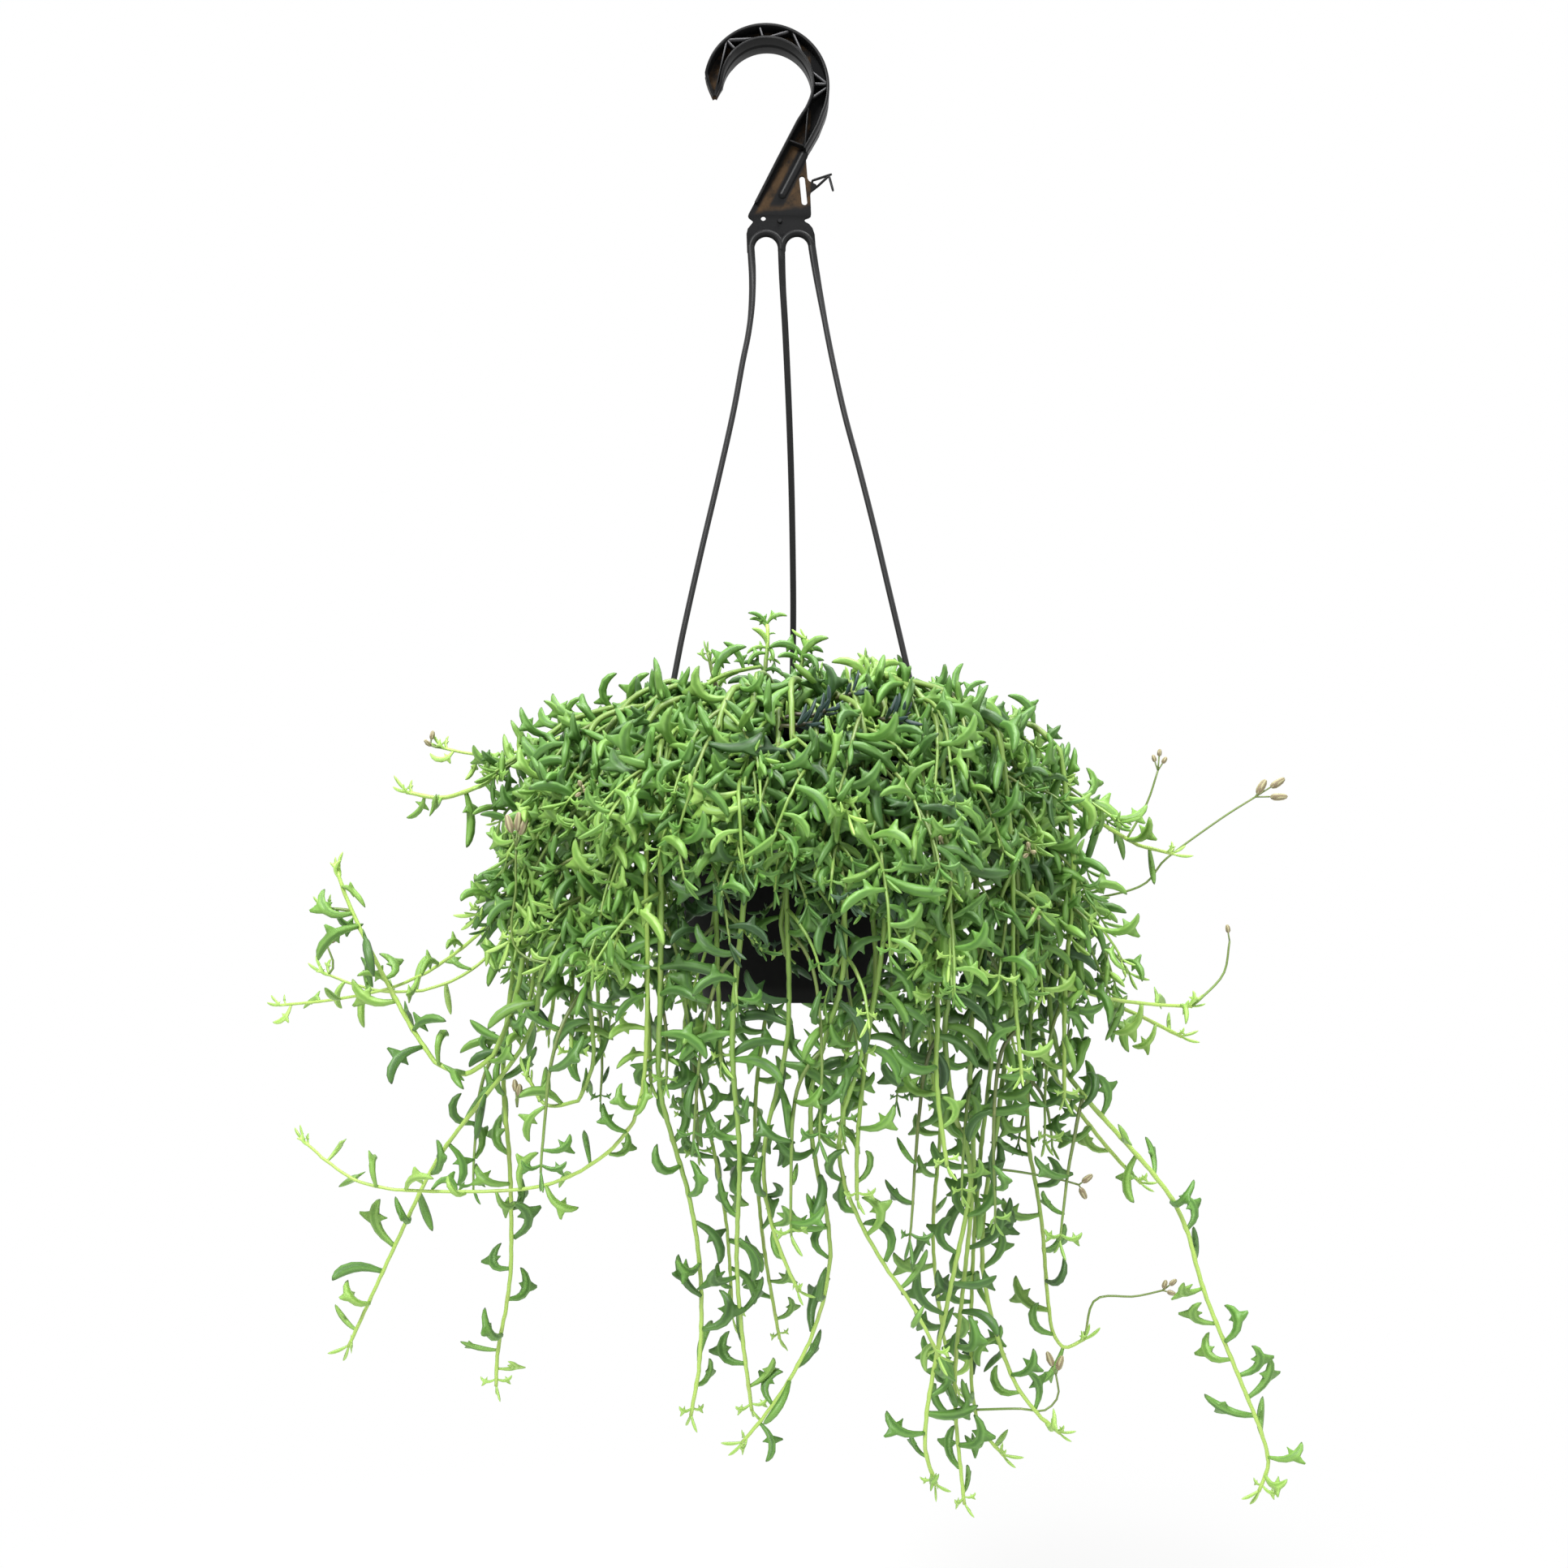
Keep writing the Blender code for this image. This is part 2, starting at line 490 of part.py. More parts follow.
def build_pot(material, group):
    profile = [(0, -470.4), (41.4, -470.4), (43.0, -466.0), (66.6, -371.6), (67.6, -370.2), (67.9, -350.2),
               (68.6, RIM_Z), (FLANGE_RADIUS - 0.5, RIM_Z), (FLANGE_RADIUS, RIM_Z - 0.5),
               (FLANGE_RADIUS, -352.4), (74.4, -352.4), (74.4, -349.8), (COLLAR_RADIUS + 0.2, -349.8),
               (COLLAR_RADIUS, -370.6), (68.0, -371.8), (44.6, -467.0), (FOOT_RADIUS, FOOT_Z),
               (40.8, FOOT_Z), (40.8, FLOOR_Z), (0, FLOOR_Z)]
    pot = turned("pot", profile)
    for i, angle in enumerate(CLIP_ANGLES):
        turn = math.radians(angle)
        place = (POT_AXIS_X + CLIP_RADIUS * math.cos(turn), CLIP_RADIUS * math.sin(turn), RIM_Z - 1.0)
        slot = block(f"slot_{i}", (CLIP_SLOT[0], CLIP_SLOT[1], 5.0), place, angle)
        combine(pot, slot, "DIFFERENCE")
    for i in range(6):
        turn = math.radians(60 * i + 15)
        x = POT_AXIS_X + 30 * math.cos(turn)
        hole = tube(f"drain_{i}", [(x, 30 * math.sin(turn), -476), (x, 30 * math.sin(turn), -466)], 4.0, 2)
        combine(pot, hole, "DIFFERENCE")
    tidy_faces(pot)
    finish_node(pot, "pot", material, group)


def build_soil(material, group):
    gap = 0.5
    profile = [(0, SOIL_Z), (64.0, SOIL_Z), (67.0 - gap, SOIL_Z - 3.0), (67.4 - gap, -369.8),
               (66.4 - gap, -371.8), (43.0 - gap, -465.4), (41.2 - gap, -470.4 + TOUCH_GAP),
               (0, -470.4 + TOUCH_GAP)]
    soil = turned("soil", profile)
    finish_node(soil, "soil", material, group)


# ---------------------------------------------------------------- plant

class Trail:
    """A rooted stem: its name, its centre line and its radius, in mm."""

    def __init__(self, name, points, radius):
        self.name = name
        self.line = smooth_route(points, SAMPLE)
        self.radius = radius


def root_places(count):
    """Roots spread over the soil like the seeds of a sunflower."""
    golden = math.pi * (3 - math.sqrt(5))
    places = []
    for i in range(count):
        radius = 59.0 * math.sqrt((i + 0.6) / count)
        angle = golden * i
        places.append(np.array([POT_AXIS_X + radius * math.cos(angle), radius * math.sin(angle)]))
    return places


def over_the_rim(root, first, crest_z):
    """From a root straight up, over the rim and towards the first point outside."""
    axis = np.array([POT_AXIS_X, 0.0])
    out = np.array(first[:2]) - axis
    out /= np.linalg.norm(out)
    inner = root * 0.45 + (axis + out * 52) * 0.55
    crest = axis + out * 74
    lean = root * 0.88 + inner * 0.12
    points = [(*root, SOIL_Z + TOUCH_GAP), (*root, SOIL_Z + 6), (*lean, SOIL_Z + 16)]
    points += [(*inner, crest_z - 5), (*crest, crest_z)]
    return points


def dome_route(azimuth, widest, tip_z, flare, rng):
    """A stem that leaves the rim, swells out to its widest radius and hangs to its tip."""
    turn = math.radians(azimuth)
    out = np.array([math.cos(turn), math.sin(turn)])
    side = np.array([-out[1], out[0]])
    axis = np.array([POT_AXIS_X, 0.0])
    stations = [(0.78 * widest + 18, -346), (0.97 * widest, -376), (widest, -412)]
    points = []
    for radius, z in stations:
        points.append((*(axis + out * radius), z))
    count = max(2, int((-412 - tip_z) / 38))
    for i in range(1, count + 1):
        share = i / count
        radius = widest - 14 * share + flare * 2.2 * share * share
        sway = rng.uniform(-7, 7)
        points.append((*(axis + out * radius + side * sway), -412 + (tip_z + 412) * share))
    return points


def plan_trails():
    rng = random.Random(11)
    rows = {name: list(points) for name, points in LONG_TRAILS.items()}
    for i, (azimuth, widest, tip_z, flare) in enumerate(DOME_TRAILS):
        rows[f"trail_dome_{i + 1:02d}"] = dome_route(azimuth, widest, tip_z, flare, rng)
    free = root_places(len(rows) + len(CROWN_SHOOTS) + 4)
    for points in CROWN_SHOOTS.values():
        root = np.array(points[0][:2])
        free = [place for place in free if np.linalg.norm(place - root) > 6.0]
    trails = []
    thin = ("trail_left_low_shoot", "trail_left_high_shoot", "trail_left_top_shoot", "trail_left_crossing")
    for name, points in rows.items():
        target = np.array(points[0][:2])
        axis = np.array([POT_AXIS_X, 0.0])
        wish = axis + (target - axis) / np.linalg.norm(target - axis) * rng.uniform(18, 52)
        free.sort(key=lambda place: np.linalg.norm(place - wish))
        root = free.pop(0)
        crest_z = rng.uniform(*CREST_Z)
        start = over_the_rim(root, points[0], crest_z)
        trails.append(Trail(name, start + points, THIN_STEM_RADIUS if name in thin else STEM_RADIUS))
    for name, points in CROWN_SHOOTS.items():
        trails.append(Trail(name, points, STEM_RADIUS))
    return trails


def pot_radius(z):
    """Outer radius of the pot at a height, with the rim's flange."""
    if z > -353.5:
        return FLANGE_RADIUS
    if z > -371:
        return COLLAR_RADIUS
    return 44.6 + (z + 467.0) * (68.0 - 44.6) / (467.0 - 371.8)


def keep_off_pot(line, radius):
    axis = np.array([POT_AXIS_X, 0.0])
    room = radius + STEM_CLEARANCE
    for place in line:
        flat = place[:2] - axis
        reach = np.linalg.norm(flat)
        if reach < 1e-6:
            continue
        if reach < 70 and place[2] > SOIL_Z - 10:
            place[2] = max(place[2], SOIL_Z + room + 0.6)
        if 64 < reach < 80 and place[2] > RIM_Z - 3:
            place[2] = max(place[2], RIM_Z + room + 0.6)
        if reach <= 70 and -372 < place[2] < RIM_Z + 4:
            place[:2] = axis + flat / reach * min(reach, 67.4 - room)
        elif reach > 70 and FOOT_Z - 4 < place[2] < RIM_Z + room:
            place[:2] = axis + flat / reach * max(reach, pot_radius(place[2]) + room + 0.4)


def strand_samples():
    points = []
    for route, angle in zip(STRAND_ROUTES, CLIP_ANGLES):
        turn = math.radians(angle)
        clip = (POT_AXIS_X + CLIP_RADIUS * math.cos(turn), CLIP_RADIUS * math.sin(turn), RIM_Z + 2)
        points.append(smooth_route(route + [clip], SAMPLE))
    return np.vstack(points)


def relax(trails):
    """Push stems that come too near to each other, the strands or the pot apart."""
    fixed = strand_samples()
    for _ in range(RELAX_ROUNDS):
        every = np.vstack([trail.line for trail in trails])
        owner = np.concatenate([np.full(len(trail.line), i) for i, trail in enumerate(trails)])
        tree = kdtree.KDTree(len(every))
        for i, place in enumerate(every):
            tree.insert(place, i)
        tree.balance()
        push = np.zeros_like(every)
        for i, place in enumerate(every):
            for _, j, distance in tree.find_range(place, 6.6):
                if owner[i] == owner[j]:
                    continue
                want = trails[owner[i]].radius + trails[owner[j]].radius + STEM_CLEARANCE + 0.9
                if distance < want:
                    away = place - every[j] if distance > 0.05 else np.array([0.6, 0.8, 0.1])
                    push[i] += away / max(distance, 0.3) * (want - distance) * 0.3
        gaps = np.linalg.norm(every[:, None, :2] - fixed[None, :, :2], axis=2)
        gaps = np.hypot(gaps, every[:, None, 2] - fixed[None, :, 2])
        nearest = gaps.argmin(axis=1)
        close = gaps.min(axis=1)
        for i in np.nonzero(close < 6.2)[0]:
            away = every[i] - fixed[nearest[i]]
            push[i] += away / max(close[i], 0.3) * (6.2 - close[i]) * 0.6
        start = 0
        for trail in trails:
            stop = start + len(trail.line)
            move = push[start:stop]
            spread = np.array([np.convolve(move[:, k], (0.1, 0.2, 0.4, 0.2, 0.1), "same") for k in range(3)]).T
            hold = np.clip((np.arange(len(move)) - 2) / 4, 0, 1)[:, None]
            trail.line += (spread * 1.6) * hold
            bend = trail.line[:-2] - 2 * trail.line[1:-1] + trail.line[2:]
            trail.line[1:-1] += bend * 0.06 * hold[1:-1]
            keep_off_pot(trail.line[3:], trail.radius)
            start = stop


def leaf_bodies(base, direction, length):
    """Three joints of a leaf's centre line: it leaves the stem level and curves up to its tip."""
    up = Vector((0, 0, 1))
    middle = base + direction * (length * 0.48) + up * (length * 0.05)
    tip = base + direction * (length * 0.9) + up * (length * 0.38)
    return base, middle, tip


def leaf_samples(joints):
    base, middle, tip = joints
    points = [base.lerp(middle, t) for t in (0.35, 0.7, 1.0)] + [middle.lerp(tip, t) for t in (0.3, 0.6, 1.0)]
    sizes = [2.7, 3.1, 3.3, 2.9, 2.2, 1.5]
    return np.array([tuple(p) for p in points]), np.array(sizes)


def hits_pot(points, sizes):
    for place, size in zip(points, sizes):
        reach = math.hypot(place[0] - POT_AXIS_X, place[1])
        z = place[2]
        if z < SOIL_Z + size + 0.6 and reach < 70 and z > FOOT_Z - 5:
            return True
        if FOOT_Z - size - 1 < z < RIM_Z + size + 0.6 and 65 - size < reach < pot_radius(z) + size + 0.6:
            return True
    return False


def choose_leaves(trails):
    """Pick for each leaf place a direction that keeps clear of all else, or leave it out."""
    rng = random.Random(5)
    stems = np.vstack([trail.line for trail in trails] + [strand_samples()])
    stem_radius = np.concatenate([np.full(len(t.line), t.radius) for t in trails]
                                 + [np.full(len(stems) - sum(len(t.line) for t in trails), 2.6)])
    owner = np.concatenate([np.full(len(t.line), i) for i, t in enumerate(trails)]
                           + [np.full(len(stems) - sum(len(t.line) for t in trails), -1)])
    taken_points = np.zeros((0, 3))
    taken_sizes = np.zeros(0)
    chosen = []
    for index, trail in enumerate(trails):
        line = trail.line
        along = np.arange(len(line)) * np.linalg.norm(line[1] - line[0])
        place = 26.0 if index < len(trails) - len(CROWN_SHOOTS) else 14.0
        pitch = LEAF_PITCH if place > 20 else 12.0
        side = rng.uniform(0, 360)
        leaves = []
        while place < along[-1] - 5:
            at = min(int(place / along[1]), len(line) - 2)
            centre = Vector(line[at])
            ahead = Vector(line[at + 1] - line[at - 1]).normalized()
            length = LEAF_LENGTH * rng.uniform(0.85, 1.12)
            if along[-1] - place < 40:
                length *= 0.75
            side_now = None
            for offset in (0, 35, -35, 70, -70, 110, -110, 150, -150, 180):
                direction = perpendicular(ahead, side + offset)
                joints = leaf_bodies(centre + direction * trail.radius * 0.7, direction, length)
                points, sizes = leaf_samples(joints)
                if hits_pot(points, sizes):
                    continue
                gap = np.linalg.norm(points[:, None] - stems[None], axis=2) - sizes[:, None] - stem_radius
                near_self = (owner == index) & (np.abs(np.arange(len(owner)) - (np.argmax(owner == index) + at)) < 6)
                gap[:, near_self] = 9
                if gap.min() < 0.5:
                    continue
                if len(taken_points):
                    gap = np.linalg.norm(points[:, None] - taken_points[None], axis=2)
                    gap = gap - sizes[:, None] - taken_sizes
                    if gap.min() < 0.5:
                        continue
                side_now = side + offset
                break
            if side_now is not None:
                leaves.append((at, joints))
                taken_points = np.vstack([taken_points, points])
                taken_sizes = np.concatenate([taken_sizes, sizes])
            side += 137.5
            place += pitch * rng.uniform(0.9, 1.1)
        chosen.append(leaves)
    return chosen


def perpendicular(ahead, degrees):
    """A level-ish direction square to the stem, turned about it by an angle."""
    across = ahead.cross(Vector((0, 0, 1)))
    if across.length < 0.3:
        across = ahead.cross(Vector((0, 1, 0)))
    across.normalize()
    other = ahead.cross(across).normalized()
    turn = math.radians(degrees)
    return across * math.cos(turn) + other * math.sin(turn)


def grow_leaf(bm, centre, joints, tangent):
    """Pull one side face of the short stretch of stem out into a leaf that ends in a point."""
    base, middle, tip = joints
    direction = (middle - base).normalized()
    best, score = None, 0.2
    for face in bm.faces:
        if (face.calc_center_median() / MM - centre).length > 1.9 or abs(face.normal.dot(tangent)) > 0.5:
            continue
        if face.normal.dot(direction) > score:
            best, score = face, face.normal.dot(direction)
    if best is None:
        return False
    blade = bmesh.ops.extrude_discrete_faces(bm, faces=[best])["faces"][0]
    middle_now = blade.calc_center_median()
    for vertex in blade.verts:
        vertex.co = middle * MM + (vertex.co - middle_now) * 1.25
    point = bmesh.ops.extrude_discrete_faces(bm, faces=[blade])["faces"][0]
    bmesh.ops.pointmerge(bm, verts=list(point.verts), merge_co=tip * MM)
    return True


def build_trail(trail, leaves, material, group):
    """The stem as a thin tube with a short stretch at each leaf, and the leaves grown from those."""
    line = trail.line
    step = np.linalg.norm(line[1] - line[0])
    places = {0.0, 5.0, (len(line) - 1) * step}
    nodes = [at * step for at, _ in leaves]
    for node in nodes:
        places.update((node - 1.9, node + 1.9))
    ordered = sorted(places)
    extra = []
    for low, high in zip(ordered, ordered[1:]):
        if high - low > 24:
            pieces = int((high - low) // 20) + 1
            extra += [low + (high - low) * k / pieces for k in range(1, pieces)]
    ordered = sorted(ordered + extra)
    along = np.arange(len(line)) * step
    points = [tuple(np.interp(s, along, line[:, k]) for k in range(3)) for s in ordered]
    stem = tube(trail.name, points, trail.radius, 0, tip=0.6)
    bm = bmesh.new()
    bm.from_mesh(stem.data)
    for (at, joints), node in zip(leaves, nodes):
        low = Vector([np.interp(node - 1.9, along, line[:, k]) for k in range(3)])
        high = Vector([np.interp(node + 1.9, along, line[:, k]) for k in range(3)])
        bm.normal_update()
        grow_leaf(bm, (low + high) / 2, joints, (high - low).normalized())
    bmesh.ops.recalc_face_normals(bm, faces=bm.faces)
    bmesh.ops.triangulate(bm, faces=bm.faces)
    bm.to_mesh(stem.data)
    bm.free()
    finish_node(stem, trail.name, material, group)


def main():
    clear_scene()
    group = new_collection("potted_string_of_dolphins")
    hanger_plastic = plastic("hanger_plastic", (0.02, 0.021, 0.022), 0.4)
    pot_plastic = plastic("pot_plastic", (0.012, 0.012, 0.013), 0.55)
    potting_mix = plastic("potting_mix", (0.06, 0.04, 0.028), 0.95)
    green = plastic("succulent_green", (0.08, 0.26, 0.05), 0.4)
    build_hanger(hanger_plastic, group)
    build_pot(pot_plastic, group)
    build_soil(potting_mix, group)
    trails = plan_trails()
    relax(trails)
    for trail, leaves in zip(trails, choose_leaves(trails)):
        build_trail(trail, leaves, green, group)


main()
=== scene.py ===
# %% [markdown]
# # A string of dolphins in its hanging pot
#
# A trailing succulent grows in a black nursery pot, and the pot hangs from its own moulded
# plastic hanger. The measured model of it is loaded first and stays where it is. This lesson
# gives that model its surfaces, and grows the real stems, leaves, buds and soil on it.

# %% Load the measured model
import math
import random

import bmesh
import bpy
import numpy as np
from mathutils import Matrix, Vector


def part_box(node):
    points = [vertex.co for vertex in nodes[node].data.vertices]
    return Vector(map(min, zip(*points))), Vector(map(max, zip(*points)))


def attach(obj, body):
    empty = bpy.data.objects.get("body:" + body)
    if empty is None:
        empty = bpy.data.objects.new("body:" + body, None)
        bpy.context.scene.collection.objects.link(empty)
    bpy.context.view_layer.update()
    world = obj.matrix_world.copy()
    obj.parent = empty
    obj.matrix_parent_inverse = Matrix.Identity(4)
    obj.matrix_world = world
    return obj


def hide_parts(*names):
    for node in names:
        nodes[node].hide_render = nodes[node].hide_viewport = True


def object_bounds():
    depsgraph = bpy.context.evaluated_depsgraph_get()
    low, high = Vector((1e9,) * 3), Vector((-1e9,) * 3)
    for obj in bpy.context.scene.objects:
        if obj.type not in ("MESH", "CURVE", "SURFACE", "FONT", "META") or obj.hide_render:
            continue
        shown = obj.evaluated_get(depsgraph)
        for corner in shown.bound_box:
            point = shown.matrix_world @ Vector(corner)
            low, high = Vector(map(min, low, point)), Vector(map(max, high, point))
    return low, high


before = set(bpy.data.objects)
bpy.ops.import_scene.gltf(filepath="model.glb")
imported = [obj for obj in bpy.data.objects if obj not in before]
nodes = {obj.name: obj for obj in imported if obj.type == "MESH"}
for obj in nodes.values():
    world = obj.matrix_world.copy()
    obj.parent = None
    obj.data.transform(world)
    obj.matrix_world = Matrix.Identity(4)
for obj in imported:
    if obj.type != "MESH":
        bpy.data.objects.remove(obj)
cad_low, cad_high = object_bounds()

MM = 0.001
print("measured nodes:", len(nodes), "box:", [round(v, 3) for v in (*cad_low, *cad_high)])

# %% [markdown]
# ## Camera
#
# The pot hangs at about eye level: the camera is level with the lower half of the pot, so the
# hook shows its inner face from below and the pot's foot is almost a straight line. Tilting the
# camera far enough to frame the hook would shrink it and lean the sides in. A slight tilt and a
# small upward shift of the lens frame it with hardly anything bent.

# %% Camera
EYE_X = 0.0105
EYE_DISTANCE = 0.8
EYE = Vector((EYE_X, -EYE_DISTANCE, -0.440))
AIM = Vector((EYE_X, 0.0, -0.4351))
VIEW_WIDTH = 0.779
FRAME_RISE = 0.0860
SENSOR = 36.0


def linked(name, data):
    """A new object in the scene that holds a mesh, lamp or camera."""
    made = bpy.data.objects.new(name, data)
    bpy.context.scene.collection.objects.link(made)
    return made


def point_at(made, place, aim):
    """Stand a camera or lamp at a place and turn it to face another."""
    made.location = place
    made.rotation_euler = (Vector(aim) - Vector(place)).to_track_quat("-Z", "Y").to_euler()


camera_data = bpy.data.cameras.new("camera")
camera = linked("camera", camera_data)
point_at(camera, EYE, AIM)
camera_data.sensor_width = SENSOR
camera_data.lens = SENSOR * (AIM - EYE).length / VIEW_WIDTH
camera_data.shift_y = FRAME_RISE
camera_data.clip_start = 0.01
bpy.context.scene.camera = camera
print("lens, mm:", round(camera_data.lens, 1))

# %% [markdown]
# ## Nodes written as sums
#
# A procedural finish is mostly arithmetic on masks. Adding a Math node for each sum by hand
# hides what is worked out, so a small class wraps a number socket: an expression on two of
# them adds the Math nodes. Every other node comes from one method that takes its type, its
# settings and its inputs.


# %% A number socket that Python can calculate with
class Number:
    def __init__(self, finish, socket):
        self.finish = finish
        self.socket = socket

    def math(self, operation, *others):
        inputs = dict(enumerate((self, *others)))
        made = self.finish.node("ShaderNodeMath", {"operation": operation}, inputs)
        return Number(self.finish, made.outputs[0])

    def __add__(self, other):
        return self.math("ADD", other)

    __radd__ = __add__

    def __sub__(self, other):
        return self.math("SUBTRACT", other)

    def __rsub__(self, other):
        return (self * -1.0).math("ADD", other)

    def __mul__(self, other):
        return self.math("MULTIPLY", other)

    __rmul__ = __mul__

    def __abs__(self):
        return self.math("ABSOLUTE")

    def ramp(self, start, stop):
        """0 at start, 1 at stop and smooth between them."""
        made = self.finish.node("ShaderNodeMapRange", {"interpolation_type": "SMOOTHSTEP"},
                                {"Value": self, "From Min": start, "From Max": stop})
        return Number(self.finish, made.outputs["Result"])


# %% A finish: one material and the ways to add nodes to it
class Finish:
    def __init__(self, name):
        self.material = bpy.data.materials.new(name)
        self.material.use_nodes = True
        self.tree = self.material.node_tree
        self.shader = self.tree.nodes["Principled BSDF"]
        self.place = self.node("ShaderNodeTexCoord").outputs["Object"]

    def node(self, kind, settings=None, inputs=None):
        made = self.tree.nodes.new(kind)
        for name, value in (settings or {}).items():
            setattr(made, name, value)
        for name, value in (inputs or {}).items():
            self.give(made.inputs[name], value)
        return made

    def give(self, socket, value):
        if isinstance(value, Number):
            value = value.socket
        if isinstance(value, bpy.types.NodeSocket):
            self.tree.links.new(value, socket)
        else:
            socket.default_value = value

    def attribute(self, name):
        made = self.node("ShaderNodeAttribute", {"attribute_name": name})
        return Number(self, made.outputs["Fac"])

    def axis(self, letter):
        """A coordinate in metres: X to the right, Y to the back, Z up."""
        split = self.node("ShaderNodeSeparateXYZ", {}, {0: self.place})
        return Number(self, split.outputs[letter])

    def noise(self, scale, detail=4.0, roughness=0.55, stretch=(1, 1, 1)):
        """Noise from 0 to 1; scale is in waves per metre."""
        moved = self.node("ShaderNodeMapping", {}, {"Vector": self.place, "Scale": stretch})
        made = self.node("ShaderNodeTexNoise", {}, {"Vector": moved.outputs[0], "Scale": scale,
                                                    "Detail": detail, "Roughness": roughness})
        return Number(self, made.outputs["Fac"])

    def mix(self, share, first, second):
        """The first colour where share is 0, the second where it is 1."""
        made = self.node("ShaderNodeMix", {"data_type": "RGBA"})
        self.give(made.inputs[0], share)
        for number, colour in ((6, first), (7, second)):
            self.give(made.inputs[number], (*colour, 1.0) if isinstance(colour, tuple) else colour)
        return made.outputs[2]

    def colours(self, value, stops):
        """A colour ramp from (place, colour) pairs."""
        made = self.node("ShaderNodeValToRGB", {}, {0: value})
        elements = made.color_ramp.elements
        while len(elements) < len(stops):
            elements.new(0.5)
        for element, (where, colour) in zip(elements, stops):
            element.position = where
            element.color = (*colour, 1.0)
        return made.outputs[0]

    def bump(self, height, strength, distance):
        values = {"Height": height, "Strength": strength, "Distance": distance}
        made = self.node("ShaderNodeBump", {}, values)
        self.give(self.shader.inputs["Normal"], made.outputs[0])

    def surface(self, **values):
        """Feed the shader: base_color and roughness by name."""
        for name, value in values.items():
            self.give(self.shader.inputs[name.replace("_", " ").title()], value)

    def gloss(self, level):
        self.shader.inputs["Specular IOR Level"].default_value = level

    def cover(self, node_name):
        """Give a measured node this finish and no other."""
        nodes[node_name].data.materials.clear()
        nodes[node_name].data.materials.append(self.material)


# %% [markdown]
# ## Studio
#
# A plain pale floor well below the lowest tip, a white surround, a large soft lamp from the
# upper left front, one from above and a weaker one from the right. The white of the surround is
# only for rays that the camera sees directly or in a reflection, so it does not bleach the
# leaves, and the floor fades to the same white away from the plant.

# %% Floor
FLOOR_DROP = 0.28
FLOOR_RADIUS = 6.0
WHITE = (1, 1, 1, 1)
floor_z = cad_low[2] - FLOOR_DROP
bpy.ops.object.select_all(action="DESELECT")
bpy.ops.mesh.primitive_circle_add(vertices=96, radius=FLOOR_RADIUS, fill_type="NGON",
                                  location=(0, 0, floor_z))
floor = bpy.context.object
floor.name = "floor"

floor_paint = Finish("floor_paint")
floor_paint.surface(base_color=(0.86, 0.86, 0.855, 1.0),
                    roughness=floor_paint.noise(30.0) * 0.1 + 0.85)
across = floor_paint.axis("X")
along = floor_paint.axis("Y")
reach = (across * across + along * along).math("SQRT")
glow = floor_paint.node("ShaderNodeEmission", {}, {"Color": WHITE, "Strength": 1.0})
seen = Number(floor_paint, floor_paint.node("ShaderNodeLightPath").outputs["Is Camera Ray"])
blend = floor_paint.node("ShaderNodeMixShader", {}, {
    0: reach.ramp(0.15, 1.0) * seen, 1: floor_paint.shader.outputs[0], 2: glow.outputs[0]})
floor_out = floor_paint.tree.nodes["Material Output"]
floor_paint.give(floor_out.inputs["Surface"], blend.outputs[0])
floor.data.materials.append(floor_paint.material)
print("floor at", round(floor_z, 3))

# %% World and lamps
WORLD_LIGHT = 0.44
world = bpy.data.worlds.new("studio")
bpy.context.scene.world = world
world.use_nodes = True
sky = world.node_tree
sky.nodes.clear()


def sky_of(strength):
    """An even white sky."""
    made = sky.nodes.new("ShaderNodeBackground")
    made.inputs["Strength"].default_value = strength
    made.inputs["Color"].default_value = WHITE
    return made.outputs[0]


paths = sky.nodes.new("ShaderNodeLightPath")
either = sky.nodes.new("ShaderNodeMath")
either.operation = "MAXIMUM"
choose = sky.nodes.new("ShaderNodeMixShader")
sky_out = sky.nodes.new("ShaderNodeOutputWorld")
for start, end in ((paths.outputs["Is Camera Ray"], either.inputs[0]),
                   (paths.outputs["Is Glossy Ray"], either.inputs[1]),
                   (either.outputs[0], choose.inputs[0]), (sky_of(WORLD_LIGHT), choose.inputs[1]),
                   (sky_of(1.0), choose.inputs[2]), (choose.outputs[0], sky_out.inputs["Surface"])):
    sky.links.new(start, end)

# Each lamp's place, the place it faces, its width in metres and its power in watts.
LAMPS = {
    "key_lamp": ((-0.6, -1.2, 0.8), (0, 0, -0.42), 0.6, 42.0),
    "top_lamp": ((0.3, -0.2, 0.9), (0, 0, -0.4), 0.8, 25.0),
    "fill_lamp": ((1.3, -1.2, -0.2), (0, 0, -0.42), 1.2, 7.0),
}
for name, (place, aim, width, watts) in LAMPS.items():
    data = bpy.data.lights.new(name, "AREA")
    data.shape = "DISK"
    data.size = width
    data.energy = watts
    point_at(linked(name, data), place, aim)
bpy.context.scene.view_settings.view_transform = "Standard"
print("world and soft lamps:", len(LAMPS))

# %% [markdown]
# ## Black plastic of the hanger
#
# The hanger is one injection moulding in black plastic. It has a satin, slightly uneven skin,
# and brown dust has settled on the web between the ribs. The web is the thin wall in the middle
# plane, so dust is wherever the surface is near that plane, above the two arches, broken up by
# a soft pattern, and it stops short of the rod and the flange, where the web stays black. The
# rims of the cross ribs get a painted highlight in a lighter grey.

# %% Where the hanger is dusty and where its rib rims get a painted highlight
HUB_Z = -0.085
